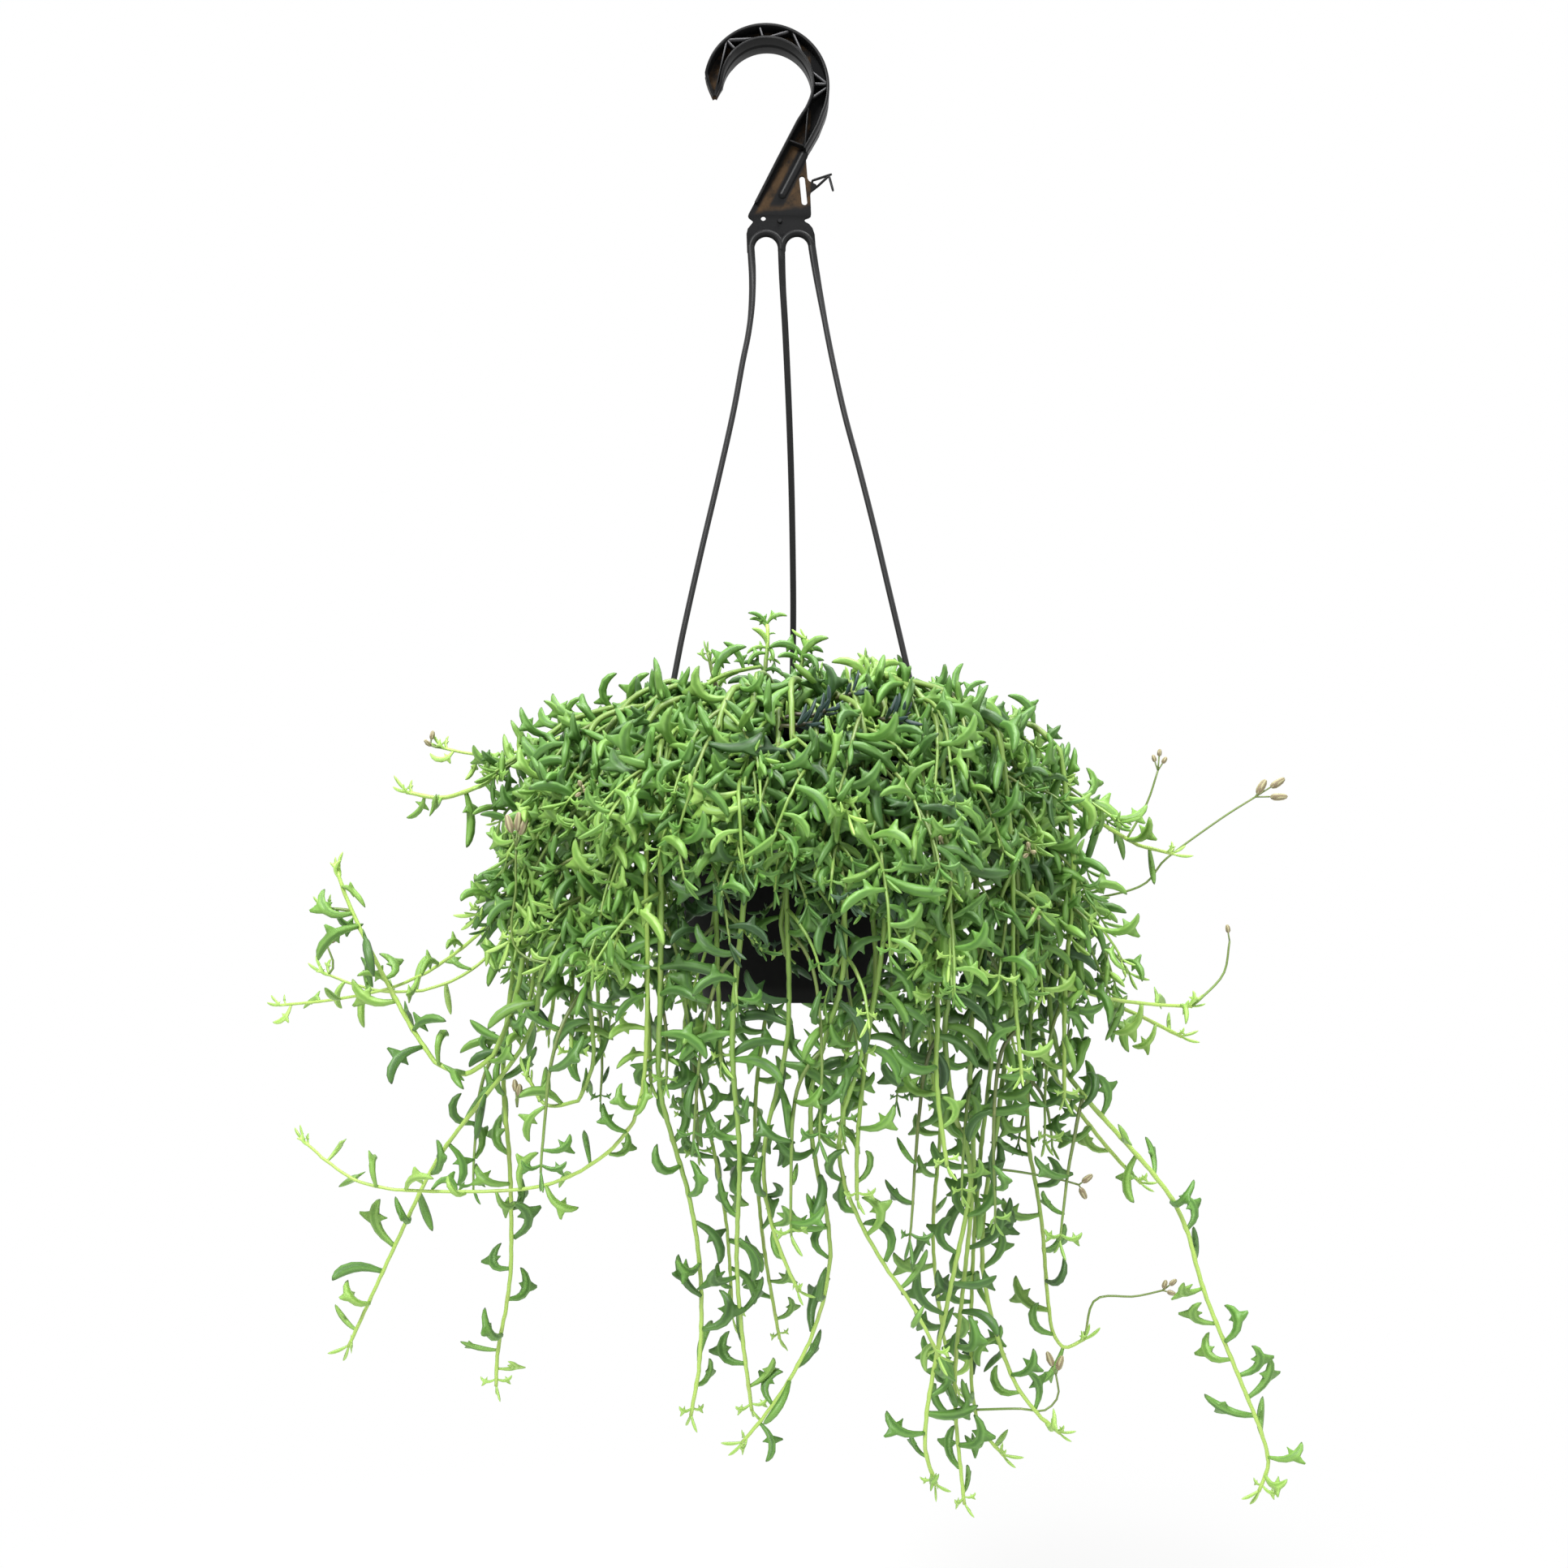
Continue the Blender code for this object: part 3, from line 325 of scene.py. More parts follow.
# The hook's two arcs: centre x, centre z and radius in millimetres.
HOOK_OUTER = (1.6, -23.8, 31.4)
HOOK_INNER = (2.0, -22.2, 22.2)
hanger_plastic = Finish("hanger_plastic")
x = hanger_plastic.axis("X")
depth = abs(hanger_plastic.axis("Y"))
height = hanger_plastic.axis("Z")
patches = hanger_plastic.noise(140.0, 5.0, 0.65)
broad = hanger_plastic.noise(45.0, 3.0, 0.6)
fine = hanger_plastic.noise(700.0, 3.0, 0.6)


def ring_reach(circle):
    """How far a point is from the axis of one of the hook's arcs."""
    off_x, off_z = x - circle[0] * MM, height - circle[1] * MM
    return (off_x * off_x + off_z * off_z).math("SQRT")


def off_edge(start, stop):
    """How far a point is from the line through two points (x, z) in millimetres."""
    way = Vector((stop[0] - start[0], stop[1] - start[1])).normalized()
    return abs(x * way.y - height * way.x - (start[0] * way.y - start[1] * way.x) * MM)


inside_outer = 1.0 - ring_reach(HOOK_OUTER).ramp(0.0292, 0.0300)
inside_arcs = ring_reach(HOOK_INNER).ramp(0.0236, 0.0244) * inside_outer
on_hook = height.ramp(-0.036, -0.031)
clear = inside_arcs * on_hook + (1.0 - on_hook)
below_rod = 1.0 - height.ramp(-0.0830, -0.0790)
# The dust stops short of the rod and the flange, so the web stays black in a band beside them.
beside_rod = off_edge((20.9, -53.2), (8.6, -76.8)).ramp(0.0024, 0.0040) + below_rod
beside_flange = off_edge((17.3, -40.6), (-1.9, -76.2)).ramp(0.0012, 0.0032)
flat_face = 1.0 - depth.ramp(0.00095, 0.0014)
on_web = flat_face * clear * beside_rod.math("MINIMUM", 1.0) * beside_flange
above_hub = (height + (broad - 0.5) * 0.008 - x * 0.16).ramp(HUB_Z, HUB_Z + 0.003)
before_lug = 1.0 - x.ramp(0.0232, 0.0242)
shank = 1.0 - height.ramp(-0.040, -0.020)
left_panel = 1.0 - x.ramp(0.017, 0.022)
settled = patches * 0.75 + broad * 0.45 + shank * 0.10 + left_panel * 0.05 - 0.06
dust = on_web * above_hub * before_lug * settled.ramp(0.48, 0.70)
on_strand = 1.0 - height.ramp(-0.125, -0.100)
# Painted highlight: the rims of the cross ribs are painted a lighter grey.
painted_rib_highlight = depth.ramp(0.0042, 0.0062) * inside_arcs * on_hook

# %% Hanger finish
PLASTIC_GLOSS = 0.12
black = hanger_plastic.mix(broad, (0.0035, 0.0036, 0.0038), (0.0085, 0.0086, 0.0090))
strand_grey = hanger_plastic.mix(on_strand, black, (0.0165, 0.0165, 0.0170))
# Painted highlight on the rib rims, in a lighter grey.
with_rib_highlight = hanger_plastic.mix(painted_rib_highlight, strand_grey, (0.092, 0.092, 0.096))
dust_brown = hanger_plastic.mix(fine * 0.4 + patches * 0.6, (0.010, 0.0065, 0.0035),
                                (0.066, 0.039, 0.019))
hanger_plastic.surface(base_color=hanger_plastic.mix(dust, with_rib_highlight, dust_brown),
                       roughness=flat_face * 0.5 + broad * 0.14 + 0.34)
hanger_plastic.gloss(PLASTIC_GLOSS)
hanger_plastic.bump(patches * 0.6 + dust * fine * 0.3, 0.06, 0.0003)
hanger_plastic.cover("hanger")

# %% [markdown]
# ## Black plastic of the pot
#
# The pot is a thin thermoformed shell in matt black. It shows faint vertical drag marks from
# the mould, a slightly lighter worn foot and dried water marks low on the wall.

# %% Pot finish
pot_plastic = Finish("pot_plastic")
drag = pot_plastic.noise(60.0, 4.0, 0.6, stretch=(4.0, 4.0, 0.25))
speckle = pot_plastic.noise(1200.0, 2.0, 0.5)
foot = 1.0 - pot_plastic.axis("Z").ramp(-0.4705, -0.4660)
marks = pot_plastic.noise(35.0, 5.0, 0.7).ramp(0.58, 0.75) * 0.35
black = pot_plastic.mix(drag, (0.0025, 0.0025, 0.0027), (0.0050, 0.0050, 0.0053))
worn = pot_plastic.mix((foot * 0.55 + marks).math("MINIMUM", 1.0), black, (0.013, 0.0125, 0.0125))
pot_plastic.surface(base_color=worn, roughness=drag * 0.2 + 0.60)
pot_plastic.gloss(PLASTIC_GLOSS)
pot_plastic.bump(drag + speckle * 0.3, 0.2, 0.0005)
pot_plastic.cover("pot")

# %% [markdown]
# ## Potting mix
#
# Peat, bark and perlite, nearly hidden by the plant. The block in the pot keeps its measured
# shape. The loose crumbs on top are small stones that are modelled once, roughened, and copied
# with a random turn and size.

# %% Soil finish
PEAT = [(0.3, (0.008, 0.006, 0.004)), (0.55, (0.030, 0.019, 0.012)), (0.75, (0.075, 0.050, 0.032))]
potting_mix = Finish("potting_mix")
clump = potting_mix.noise(160.0, 6.0, 0.7)
grit = potting_mix.noise(800.0, 3.0, 0.6)
potting_mix.surface(base_color=potting_mix.colours(clump * 0.7 + grit * 0.3, PEAT), roughness=0.95)
potting_mix.bump(clump + grit * 0.5, 0.8, 0.002)
potting_mix.cover("soil")

# %% Crumb finish, from peat through bark to white perlite
CRUMB_KINDS = [(0.0, (0.010, 0.007, 0.005)), (0.5, (0.060, 0.034, 0.018)),
               (0.80, (0.110, 0.070, 0.040)), (0.9, (0.55, 0.53, 0.48))]
crumb_finish = Finish("soil_crumbs")
kind = crumb_finish.attribute("tone") + crumb_finish.noise(500.0) * 0.2 - 0.1
crumb_finish.surface(base_color=crumb_finish.colours(kind, CRUMB_KINDS), roughness=0.9)
crumb_finish.bump(crumb_finish.noise(900.0, 5.0, 0.7), 0.6, 0.001)

# %% [markdown]
# ## Green skins
#
# Stems and leaves carry three numbers in their meshes: `tone`, from old and dark at 0 to young
# and lime at 1, on the leaves also lowered for painted shade and raised for painted light,
# `along`, from the stalk of a leaf at 0 to its tip at 1, and `height`, from the keel of a leaf at
# -1 to its back at 1. The two ridges of a leaf are pale, as their own colour and as a painted glow
# of light through the edges, and the flank between them is a darker window. The very tip is darker
# too. Each finish has its colours from old to young.

# %% Leaf finish
LEAF_BODY = [(0.0, (0.022, 0.046, 0.044)), (0.16, (0.022, 0.066, 0.012)),
             (0.50, (0.096, 0.232, 0.036)), (0.76, (0.205, 0.370, 0.068)),
             (1.0, (0.345, 0.540, 0.125))]
LEAF_WINDOW = [(0.0, (0.010, 0.026, 0.022)), (0.5, (0.028, 0.105, 0.010)),
               (1.0, (0.190, 0.400, 0.045))]
# Ridge colours: their own pale colour, with a painted glow of light through the leaf's edges.
LEAF_RIDGE_AND_GLOW = [(0.0, (0.060, 0.105, 0.095)), (0.5, (0.170, 0.350, 0.075)),
              (1.0, (0.460, 0.660, 0.180))]
LEAF_TIP = (0.035, 0.045, 0.022)
leaf_skin = Finish("leaf_skin")
tone = leaf_skin.attribute("tone")
high = leaf_skin.attribute("height")
far = leaf_skin.attribute("along")
mottle = leaf_skin.noise(260.0, 4.0, 0.6)
broad = leaf_skin.noise(38.0, 2.0, 0.5)
body = leaf_skin.colours(tone + mottle * 0.10 + broad * 0.12 - 0.11, LEAF_BODY)
deep = leaf_skin.colours(tone + mottle * 0.10 - 0.05, LEAF_WINDOW)
pale_ridge_glow = leaf_skin.colours(tone, LEAF_RIDGE_AND_GLOW)
off_middle = abs(high - 0.05).ramp(0.12, 0.42)
window = (1.0 - off_middle) * far.ramp(0.16, 0.34) * (1.0 - far.ramp(0.80, 0.95))
# Painted glow: the ridges are paler, partly their own colour and partly light shining through the
# edges.
ridge_and_glow = abs(high).ramp(0.35, 0.55) * (1.0 - abs(high).ramp(0.72, 0.95))
tip = far.ramp(0.93, 1.0) * (1.0 - tone.ramp(0.6, 0.95)) * 0.6
skin = leaf_skin.mix(window * 0.50, body, deep)
skin = leaf_skin.mix(ridge_and_glow * 0.38, skin, pale_ridge_glow)
skin = leaf_skin.mix(tip, skin, LEAF_TIP)
leaf_skin.surface(base_color=skin, roughness=mottle * 0.16 + 0.40)
leaf_skin.gloss(0.42)
leaf_skin.bump(mottle + window * -0.6, 0.22, 0.0006)

# %% Stem finish
STEM_GREENS = [(0.0, (0.045, 0.040, 0.018)), (0.18, (0.115, 0.160, 0.040)),
               (0.50, (0.190, 0.330, 0.060)), (1.0, (0.450, 0.620, 0.130))]
STEM_BLUSH = (0.290, 0.300, 0.110)
stem_skin = Finish("stem_skin")
tone = stem_skin.attribute("tone")
streak = stem_skin.noise(300.0, 3.0, 0.6, stretch=(1.0, 1.0, 0.16))
blush = stem_skin.noise(90.0, 3.0, 0.5).ramp(0.56, 0.72) * 0.35
green = stem_skin.colours(tone + streak * 0.16 - 0.08, STEM_GREENS)
stem_skin.surface(base_color=stem_skin.mix(blush, green, STEM_BLUSH),
                  roughness=streak * 0.2 + 0.34)
stem_skin.bump(streak, 0.25, 0.0005)

# %% Bud finish
GROOVE_BROWN = (0.190, 0.150, 0.085)
bud_skin = Finish("bud_skin")
in_groove = bud_skin.attribute("height").ramp(0.2, 0.8)
bud_noise = bud_skin.noise(700.0, 3.0, 0.6)
rib_tan = bud_skin.mix(bud_noise, (0.290, 0.280, 0.140), (0.420, 0.390, 0.220))
bud_skin.surface(base_color=bud_skin.mix(in_groove, rib_tan, GROOVE_BROWN), roughness=0.6)
bud_skin.bump(bud_noise, 0.4, 0.0004)
print("finishes:", len(bpy.data.materials))

# %% [markdown]
# ## One dolphin, modelled by hand
#
# A leaf has a thin stalk, a plump body, mostly two fins and a narrow pointed tip. It could be
# lofted from sections written as numbers. A six sided cylinder that is bisected into stations,
# scaled ring by ring and given its fins by extruding two faces is how it would be shaped by
# hand, and a bend modifier then curls it. It is one unit long, so a copy can be any size. Nine
# shapes cover the plant: curled up or down, with the fins near the stalk, in the middle or near
# the tip, or with none.

# %% Helpers for edit mode
def only(*objects):
    """Select these objects and nothing else; the first is active."""
    bpy.ops.object.select_all(action="DESELECT")
    for obj in objects:
        obj.select_set(True)
    bpy.context.view_layer.objects.active = objects[0]


def primitive(add, **place):
    """A primitive from its operator, with its place applied to its mesh."""
    bpy.ops.object.select_all(action="DESELECT")
    add(**place)
    bpy.ops.object.transform_apply(location=True, rotation=True, scale=True)
    return bpy.context.object


def fresh_edit(obj):
    """Select only this object and enter edit mode with nothing selected."""
    only(obj)
    bpy.ops.object.mode_set(mode="EDIT")
    bpy.ops.mesh.select_all(action="DESELECT")


def select_where(obj, kind, test):
    """In edit mode, select the verts or faces that a test on their place and normal picks."""
    bpy.ops.mesh.select_mode(type="VERT" if kind == "verts" else "FACE")
    bpy.ops.mesh.select_all(action="DESELECT")
    bm = bmesh.from_edit_mesh(obj.data)
    for item in getattr(bm, kind):
        place = item.co if kind == "verts" else item.calc_center_median()
        if test(place, item.normal):
            item.select_set(True)
    bm.select_flush_mode()
    bmesh.update_edit_mesh(obj.data)


# %% The dolphin leaf
STATIONS = (0.0, 0.08, 0.22, 0.36, 0.51, 0.69, 0.83, 0.94, 1.0)
GIRTHS = (0.046, 0.052, 0.071, 0.084, 0.094, 0.092, 0.073, 0.044, 0.012)
SIDES = 6
UP_FACE = 0.85
FIN_FOOT = (0.52, 0.6, 0.66)
FIN_POINT = (0.34, 0.4, 0.34)
STALK_END = 0.18


def raise_fin(leaf, segment, way, length, sweep, plump):
    """Extrude the top or bottom face of a segment twice, into a fin swept towards the tip."""
    middle = (STATIONS[segment] + STATIONS[segment + 1]) / 2
    girth = GIRTHS[segment] * plump * 0.87
    select_where(leaf, "faces", lambda co, no: abs(co.x - middle) < 0.02 and no.y * way > UP_FACE)
    half = way * length * 0.5
    for share, swept, raised, narrower in ((0.4, 0.4, half, FIN_FOOT),
                                           (0.6, 1.0, 2 * half, FIN_POINT)):
        bpy.ops.mesh.extrude_region_move(
            TRANSFORM_OT_translate={"value": (sweep * share, half, 0)})
        bpy.ops.transform.resize(
            value=narrower, center_override=(middle + sweep * swept, way * girth + raised, 0))


def dolphin_leaf(name, bend, fins, flat=0.80, plump=1.0):
    """A leaf that curls by bend degrees; fins are (segment, up or down, length, sweep)."""
    leaf = primitive(bpy.ops.mesh.primitive_cylinder_add, vertices=SIDES, radius=1.0, depth=1.0,
                     end_fill_type="NGON", location=(0.5, 0, 0), rotation=(0, math.radians(90), 0))
    leaf.name = name
    fresh_edit(leaf)
    for place in STATIONS[1:-1]:
        bpy.ops.mesh.select_all(action="SELECT")
        bpy.ops.mesh.bisect(plane_co=(place, 0, 0), plane_no=(1, 0, 0))
    bpy.ops.mesh.select_all(action="SELECT")
    bpy.ops.transform.rotate(value=math.pi / SIDES, orient_axis="X", center_override=(0.5, 0, 0))
    for place, girth in zip(STATIONS, GIRTHS):
        select_where(leaf, "verts", lambda co, _: abs(co.x - place) < 0.01)
        bpy.ops.transform.resize(value=(1, girth * plump, girth * flat * plump),
                                 center_override=(place, 0, 0))
    for fin in fins:
        raise_fin(leaf, *fin, plump)
    bpy.ops.mesh.select_all(action="SELECT")
    bpy.ops.mesh.normals_make_consistent(inside=False)
    bpy.ops.object.mode_set(mode="OBJECT")
    straight = mesh_points(leaf.data)
    bpy.ops.object.modifier_add(type="SIMPLE_DEFORM")
    curl = leaf.modifiers[-1]
    curl.deform_method = "BEND"
    curl.deform_axis = "Z"
    curl.limits = (STALK_END, 1.0)
    curl.angle = math.radians(bend)
    bpy.ops.object.modifier_apply(modifier=curl.name)
    return read_leaf(leaf, straight, plump)


def mesh_points(mesh):
    points = np.zeros(len(mesh.vertices) * 3)
    mesh.vertices.foreach_get("co", points)
    return points.reshape(-1, 3)


def read_leaf(leaf, straight, plump):
    """Keep a leaf as arrays, with how far along it and how high on its back each point lies."""
    along = np.clip(straight[:, 0], 0, 1)
    girth = np.interp(along, STATIONS, GIRTHS) * plump
    faces = [tuple(p.vertices) for p in leaf.data.polygons]
    bent = mesh_points(leaf.data)[:, (0, 2, 1)] * (1, -1, 1)
    made = {"points": bent, "faces": faces, "along": along,
            "height": np.clip(straight[:, 1] / girth, -1, 1)}
    print(leaf.name, "faces:", len(faces))
    bpy.data.objects.remove(leaf, do_unlink=True)
    return made


# %% Nine shapes of leaf
# Each as (name, bend in degrees, fins, flatness and plumpness where they are its own).
LEAF_SHAPES = (
    ("leaping", 92, [(4, 1, 0.16, 0.03), (4, -1, 0.19, 0.04)]),
    ("diving", 135, [(4, 1, 0.11, 0.00), (4, -1, 0.18, 0.03)]),
    ("arched", -84, [(3, 1, 0.19, 0.01), (3, -1, 0.13, 0.03)]),
    ("winged", -62, [(2, 1, 0.18, 0.03), (2, -1, 0.17, 0.03)]),
    ("rolled", -118, [(2, 1, 0.17, 0.02), (2, -1, 0.13, 0.02)]),
    ("fluked", 46, [(5, 1, 0.14, 0.06), (5, -1, 0.14, 0.06)], 0.85, 1.0),
    ("smooth", -78, [], 0.86, 1.12),
    ("hooked", 138, [], 0.85, 0.95),
    ("lance", 28, [], 0.80, 1.05),
)
LEAVES = {shape[0]: dolphin_leaf(*shape) for shape in LEAF_SHAPES}

# %% The flower bud
BUD_RIBS = 5
GROOVE_DEPTH = 0.80
BELLY = 1.12


def ribbed_bud():
    """A spindle one unit long and one wide, pinched between its ribs."""
    bud = primitive(bpy.ops.mesh.primitive_uv_sphere_add, segments=2 * BUD_RIBS, ring_count=6,
                    radius=0.5, location=(0, 0, 0.5))
    fresh_edit(bud)
    groove = math.pi / BUD_RIBS

    def on_groove(co, _):
        turn = math.atan2(co.y, co.x) / groove
        return math.hypot(co.x, co.y) > 0.01 and round(turn) % 2 == 1

    select_where(bud, "verts", on_groove)
    bpy.ops.transform.resize(value=(GROOVE_DEPTH, GROOVE_DEPTH, 1.0), center_override=(0, 0, 0.5))
    select_where(bud, "verts", lambda co, _: co.z < 0.45)
    bpy.ops.transform.resize(value=(BELLY, BELLY, 1.0), center_override=(0, 0, 0.5))
    bpy.ops.object.mode_set(mode="OBJECT")
    points = mesh_points(bud.data)
    turns = np.round(np.arctan2(points[:, 1], points[:, 0]) / groove).astype(int) % 2
    made = {"points": points, "faces": [tuple(f.vertices) for f in bud.data.polygons],
            "height": turns.astype(float)}
    bpy.data.objects.remove(bud, do_unlink=True)
    return made


BUD = ribbed_bud()
print("bud faces:", len(BUD["faces"]))

# %% [markdown]
# ## Reading the stems out of the measured model
#
# Every measured trail is a thin square tube with a short stretch at each leaf and a pointed
# leaf pulled out of it. Walking from the ring in the soil to its neighbours, ring by ring,
# gives the centre line, and whatever else hangs on a short stretch is a leaf with its tip.
# The stems could be drawn again by hand, but read this way they are sure to lie where the
# measured ones do.

# %% Points of a measured mesh and their neighbours
RING = 4
ROOT_GAP = 0.0003
JOIN_DIGITS = 5
_, soil_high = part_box("soil")
pot_low, pot_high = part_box("pot")
POT_AXIS = np.array([(pot_low[0] + pot_high[0]) / 2, (pot_low[1] + pot_high[1]) / 2])
RIM_Z = pot_high[2]


def merged(mesh):
    """The points of a mesh of loose triangles with doubles joined, and who is next to whom."""
    names = {}
    index = [names.setdefault(tuple(place), len(names))
             for place in np.round(mesh_points(mesh), JOIN_DIGITS)]
    near = {i: set() for i in range(len(names))}
    for polygon in mesh.polygons:
        corners = [index[v] for v in polygon.vertices]
        for a in corners:
            near[a].update(b for b in corners if b != a)
    return np.array(list(names)), near


def unit(vector):
    return vector / np.linalg.norm(vector)


def off_line(place, centre, ahead):
    """How far a place lies off the line through centre along ahead."""
    offset = place - centre
    return np.linalg.norm(offset - ahead * np.dot(offset, ahead))


def root_ring(points):
    """The four points round the stem's foot: the tightest group just above the soil."""
    def apart(i, j):
        return np.linalg.norm(points[j] - points[i])

    root_z = soil_high[2] + ROOT_GAP
    low = [i for i in range(len(points)) if abs(points[i][2] - root_z) < 2 * ROOT_GAP]
    groups = [sorted(low, key=lambda j: apart(i, j))[:RING] for i in low]
    return min(groups, key=lambda group: sum(apart(group[0], j) for j in group))


# %% Walk along a measured trail
def walk(mesh):
    """The centre line of a measured stem from root to tip, and its leaves as (base, tip)."""
    points, near = merged(mesh)
    ring = root_ring(points)
    seen = set(ring)
    line = [points[ring].mean(axis=0)]
    leaves = []
    ahead = np.array([0.0, 0.0, 1.0])
    while True:
        found = set().union(*(near[i] for i in ring)) - seen
        if len(found) < RING:
            break
        centre = line[-1]
        ordered = sorted(found, key=lambda i: off_line(points[i], centre, ahead))
        seen |= found
        step = points[ordered[:RING]].mean(axis=0)
        if len(found) > RING:
            blade = set(ordered[RING:])
            blade |= set().union(*(near[i] for i in blade)) - seen
            seen |= blade
            base = (centre + step) / 2
            tip = max(blade, key=lambda i: np.linalg.norm(points[i] - base))
            leaves.append((base, points[tip]))
        ahead = unit(step - centre)
        line.append(step)
        ring = ordered[:RING]
    return np.array(line), leaves


def smooth_line(points, step):
    """Points every step along a smooth curve through the given ones."""
    p = np.vstack([2 * points[0] - points[1], points, 2 * points[-1] - points[-2]])
    dense = []
    for i in range(1, len(p) - 2):
        for t in np.linspace(0, 1, 10, endpoint=False):
            a = 2 * p[i]
            b = p[i + 1] - p[i - 1]
            c = 2 * p[i - 1] - 5 * p[i] + 4 * p[i + 1] - p[i + 2]
            d = 3 * p[i] - p[i - 1] - 3 * p[i + 1] + p[i + 2]
            dense.append(0.5 * (a + b * t + c * t * t + d * t ** 3))
    dense = np.array(dense + [p[-2]])
    along = np.concatenate([[0], np.cumsum(np.linalg.norm(np.diff(dense, axis=0), axis=1))])
    count = max(2, int(round(along[-1] / step)))
    places = np.linspace(0, along[-1], count + 1)
    return np.stack([np.interp(places, along, dense[:, k]) for k in range(3)], axis=1)


trail_names = sorted(name for name in nodes if name.startswith(("trail_", "shoot_")))
walked = {name: walk(nodes[name].data) for name in trail_names}
print("trails read:", len(walked), "leaves read:", sum(len(tips) for _, tips in walked.values()))

# %% [markdown]
# ## The hanger, with its edges rounded
#
# The measured hanger is right in size, but its edges are sharp and its arcs have flat steps. The
# real one is a moulding: a thin web in the middle plane, a flange along each edge, cross ribs
# where the hook carries the load, round rods along the arches, and three soft strands. Plates
# are easiest as filled flat curves, because a curve can have holes and a rounded edge, and
# each is made a mesh at once. Rods and strands are swept along their routes.

# %% Plates and walls from plane curves in millimetres
ROUND_OVER = 0.28
SHANK_TOP_Z = -0.036
SHANK_LENGTH = 0.040
TIP_TOP_Z = -0.006
TIP_LENGTH = 0.019
TIP_X = -0.016


def arc(circle, start, stop, count, inset=0.0):
    """Points along a circle (centre x, centre z, radius), angles in degrees."""
    turns = np.radians(np.linspace(start, stop, count + 1))
    radius = circle[2] - inset
    return [(circle[0] + radius * math.cos(t), circle[1] + radius * math.sin(t)) for t in turns]


def plate(name, loops, half_width, round_over=ROUND_OVER):
    """A plate in the XZ plane with rounded edges: its outline first, and then its holes."""
    bpy.ops.object.select_all(action="DESELECT")
    bpy.ops.curve.primitive_bezier_circle_add(rotation=(math.radians(90), 0, 0))
    made = bpy.context.object
    made.name = name
    flat = made.data
    flat.dimensions = "2D"
    flat.fill_mode = "BOTH"
    flat.extrude = (half_width - round_over) * MM
    flat.bevel_depth = round_over * MM
    flat.bevel_resolution = 1
    flat.offset = -round_over * MM
    flat.splines.clear()
    for loop in loops:
        spline = flat.splines.new("POLY")
        spline.points.add(len(loop) - 1)
        spline.points.foreach_set("co", [v for x, z in loop for v in (x * MM, z * MM, 0.0, 1.0)])
        spline.use_cyclic_u = True
    bpy.ops.object.convert(target="MESH")
    bpy.ops.object.transform_apply(location=True, rotation=True, scale=True)
    fresh_edit(made)
    bpy.ops.mesh.select_all(action="SELECT")
    bpy.ops.mesh.remove_doubles(threshold=0.000002)
    bpy.ops.mesh.normals_make_consistent(inside=False)
    bpy.ops.object.mode_set(mode="OBJECT")
    return made


def directions(line):
    """The direction of a line at each of its points."""
    ahead = np.gradient(line, axis=0)
    return ahead / np.linalg.norm(ahead, axis=1)[:, None]


def wall(name, path, thickness, half_width):
    """A wall of even thickness that stands on a path in the XZ plane."""
    line = np.array(path, dtype=float)
    ahead = directions(line)
    side = np.stack([-ahead[:, 1], ahead[:, 0]], axis=1) * thickness / 2
    loop = [tuple(p) for p in np.vstack([line + side, (line - side)[::-1]])]
    return plate(name, [loop], half_width)


def narrow(made, least):
    """The walls lose height down the shank, to least at the thin plate, and at the hook's tip."""
    points = mesh_points(made.data)
    down = np.clip((SHANK_TOP_Z - points[:, 2]) / SHANK_LENGTH, 0, 1)
    at_tip = np.clip((TIP_TOP_Z - points[:, 2]) / TIP_LENGTH, 0, 1) ** 1.4 * (points[:, 0] < TIP_X)
    points[:, 1] *= (1 - (1 - least) * down) * (1 - 0.70 * at_tip)
    made.data.vertices.foreach_set("co", points.ravel())


# %% Bars and rods that are swept along a line
def tube_faces(rings, sides):
    """The faces of a closed tube whose points are numbered ring by ring."""
    faces = []
    for i in range(rings - 1):
        for k in range(sides):
            low, high = i * sides + k, i * sides + (k + 1) % sides
            faces.append((low, high, high + sides, low + sides))
    last = (rings - 1) * sides
    return faces + [tuple(range(sides))[::-1], tuple(last + k for k in range(sides))]


def swept(name, line, widths, depths, across, sides=16, squareness=1.0):
    """A bar along a line in millimetres, round at squareness 1 and flatter sided below it."""
    line = np.array(line, dtype=float) * MM
    points = []
    for place, way, broad, width, depth in zip(line, directions(line), across, widths, depths):
        broad = unit(broad - way * np.dot(broad, way))
        deep = np.cross(way, broad)
        for k in range(sides):
            turn = 2 * math.pi * (k + 0.5) / sides
            a = math.copysign(abs(math.cos(turn)) ** squareness, math.cos(turn)) * width / 2
            b = math.copysign(abs(math.sin(turn)) ** squareness, math.sin(turn)) * depth / 2
            points.append(place + (broad * a + deep * b) * MM)
    mesh = bpy.data.meshes.new(name)
    mesh.from_pydata([tuple(p) for p in points], [], tube_faces(len(line), sides))
    return linked(name, mesh)


def rod(name, line, radius, ends=(1.0, 1.0)):
    """A round rod in millimetres; ends are the shares of its radius left at start and end."""
    fine = smooth_line(np.array(line, dtype=float), 0.6)
    steps = np.arange(len(fine))
    opened = [end + (1 - end) * np.sqrt(np.clip(left / 3, 0, 1))
              for end, left in zip(ends, (steps, steps[::-1]))]
    width = 2 * radius * np.minimum(*opened)
    return swept(name, fine, width, width, np.tile((0.0, 1.0, 0.02), (len(fine), 1)))


def joined(name, parts, smooth_angle=38):
    """Parts of one moulding, joined into one mesh."""
    only(*parts)
    bpy.ops.object.join()
    whole = bpy.context.object
    whole.name = name
    whole.data.name = name
    bpy.ops.object.shade_smooth_by_angle(angle=math.radians(smooth_angle))
    print(name, "faces:", len(whole.data.polygons))
    return whole


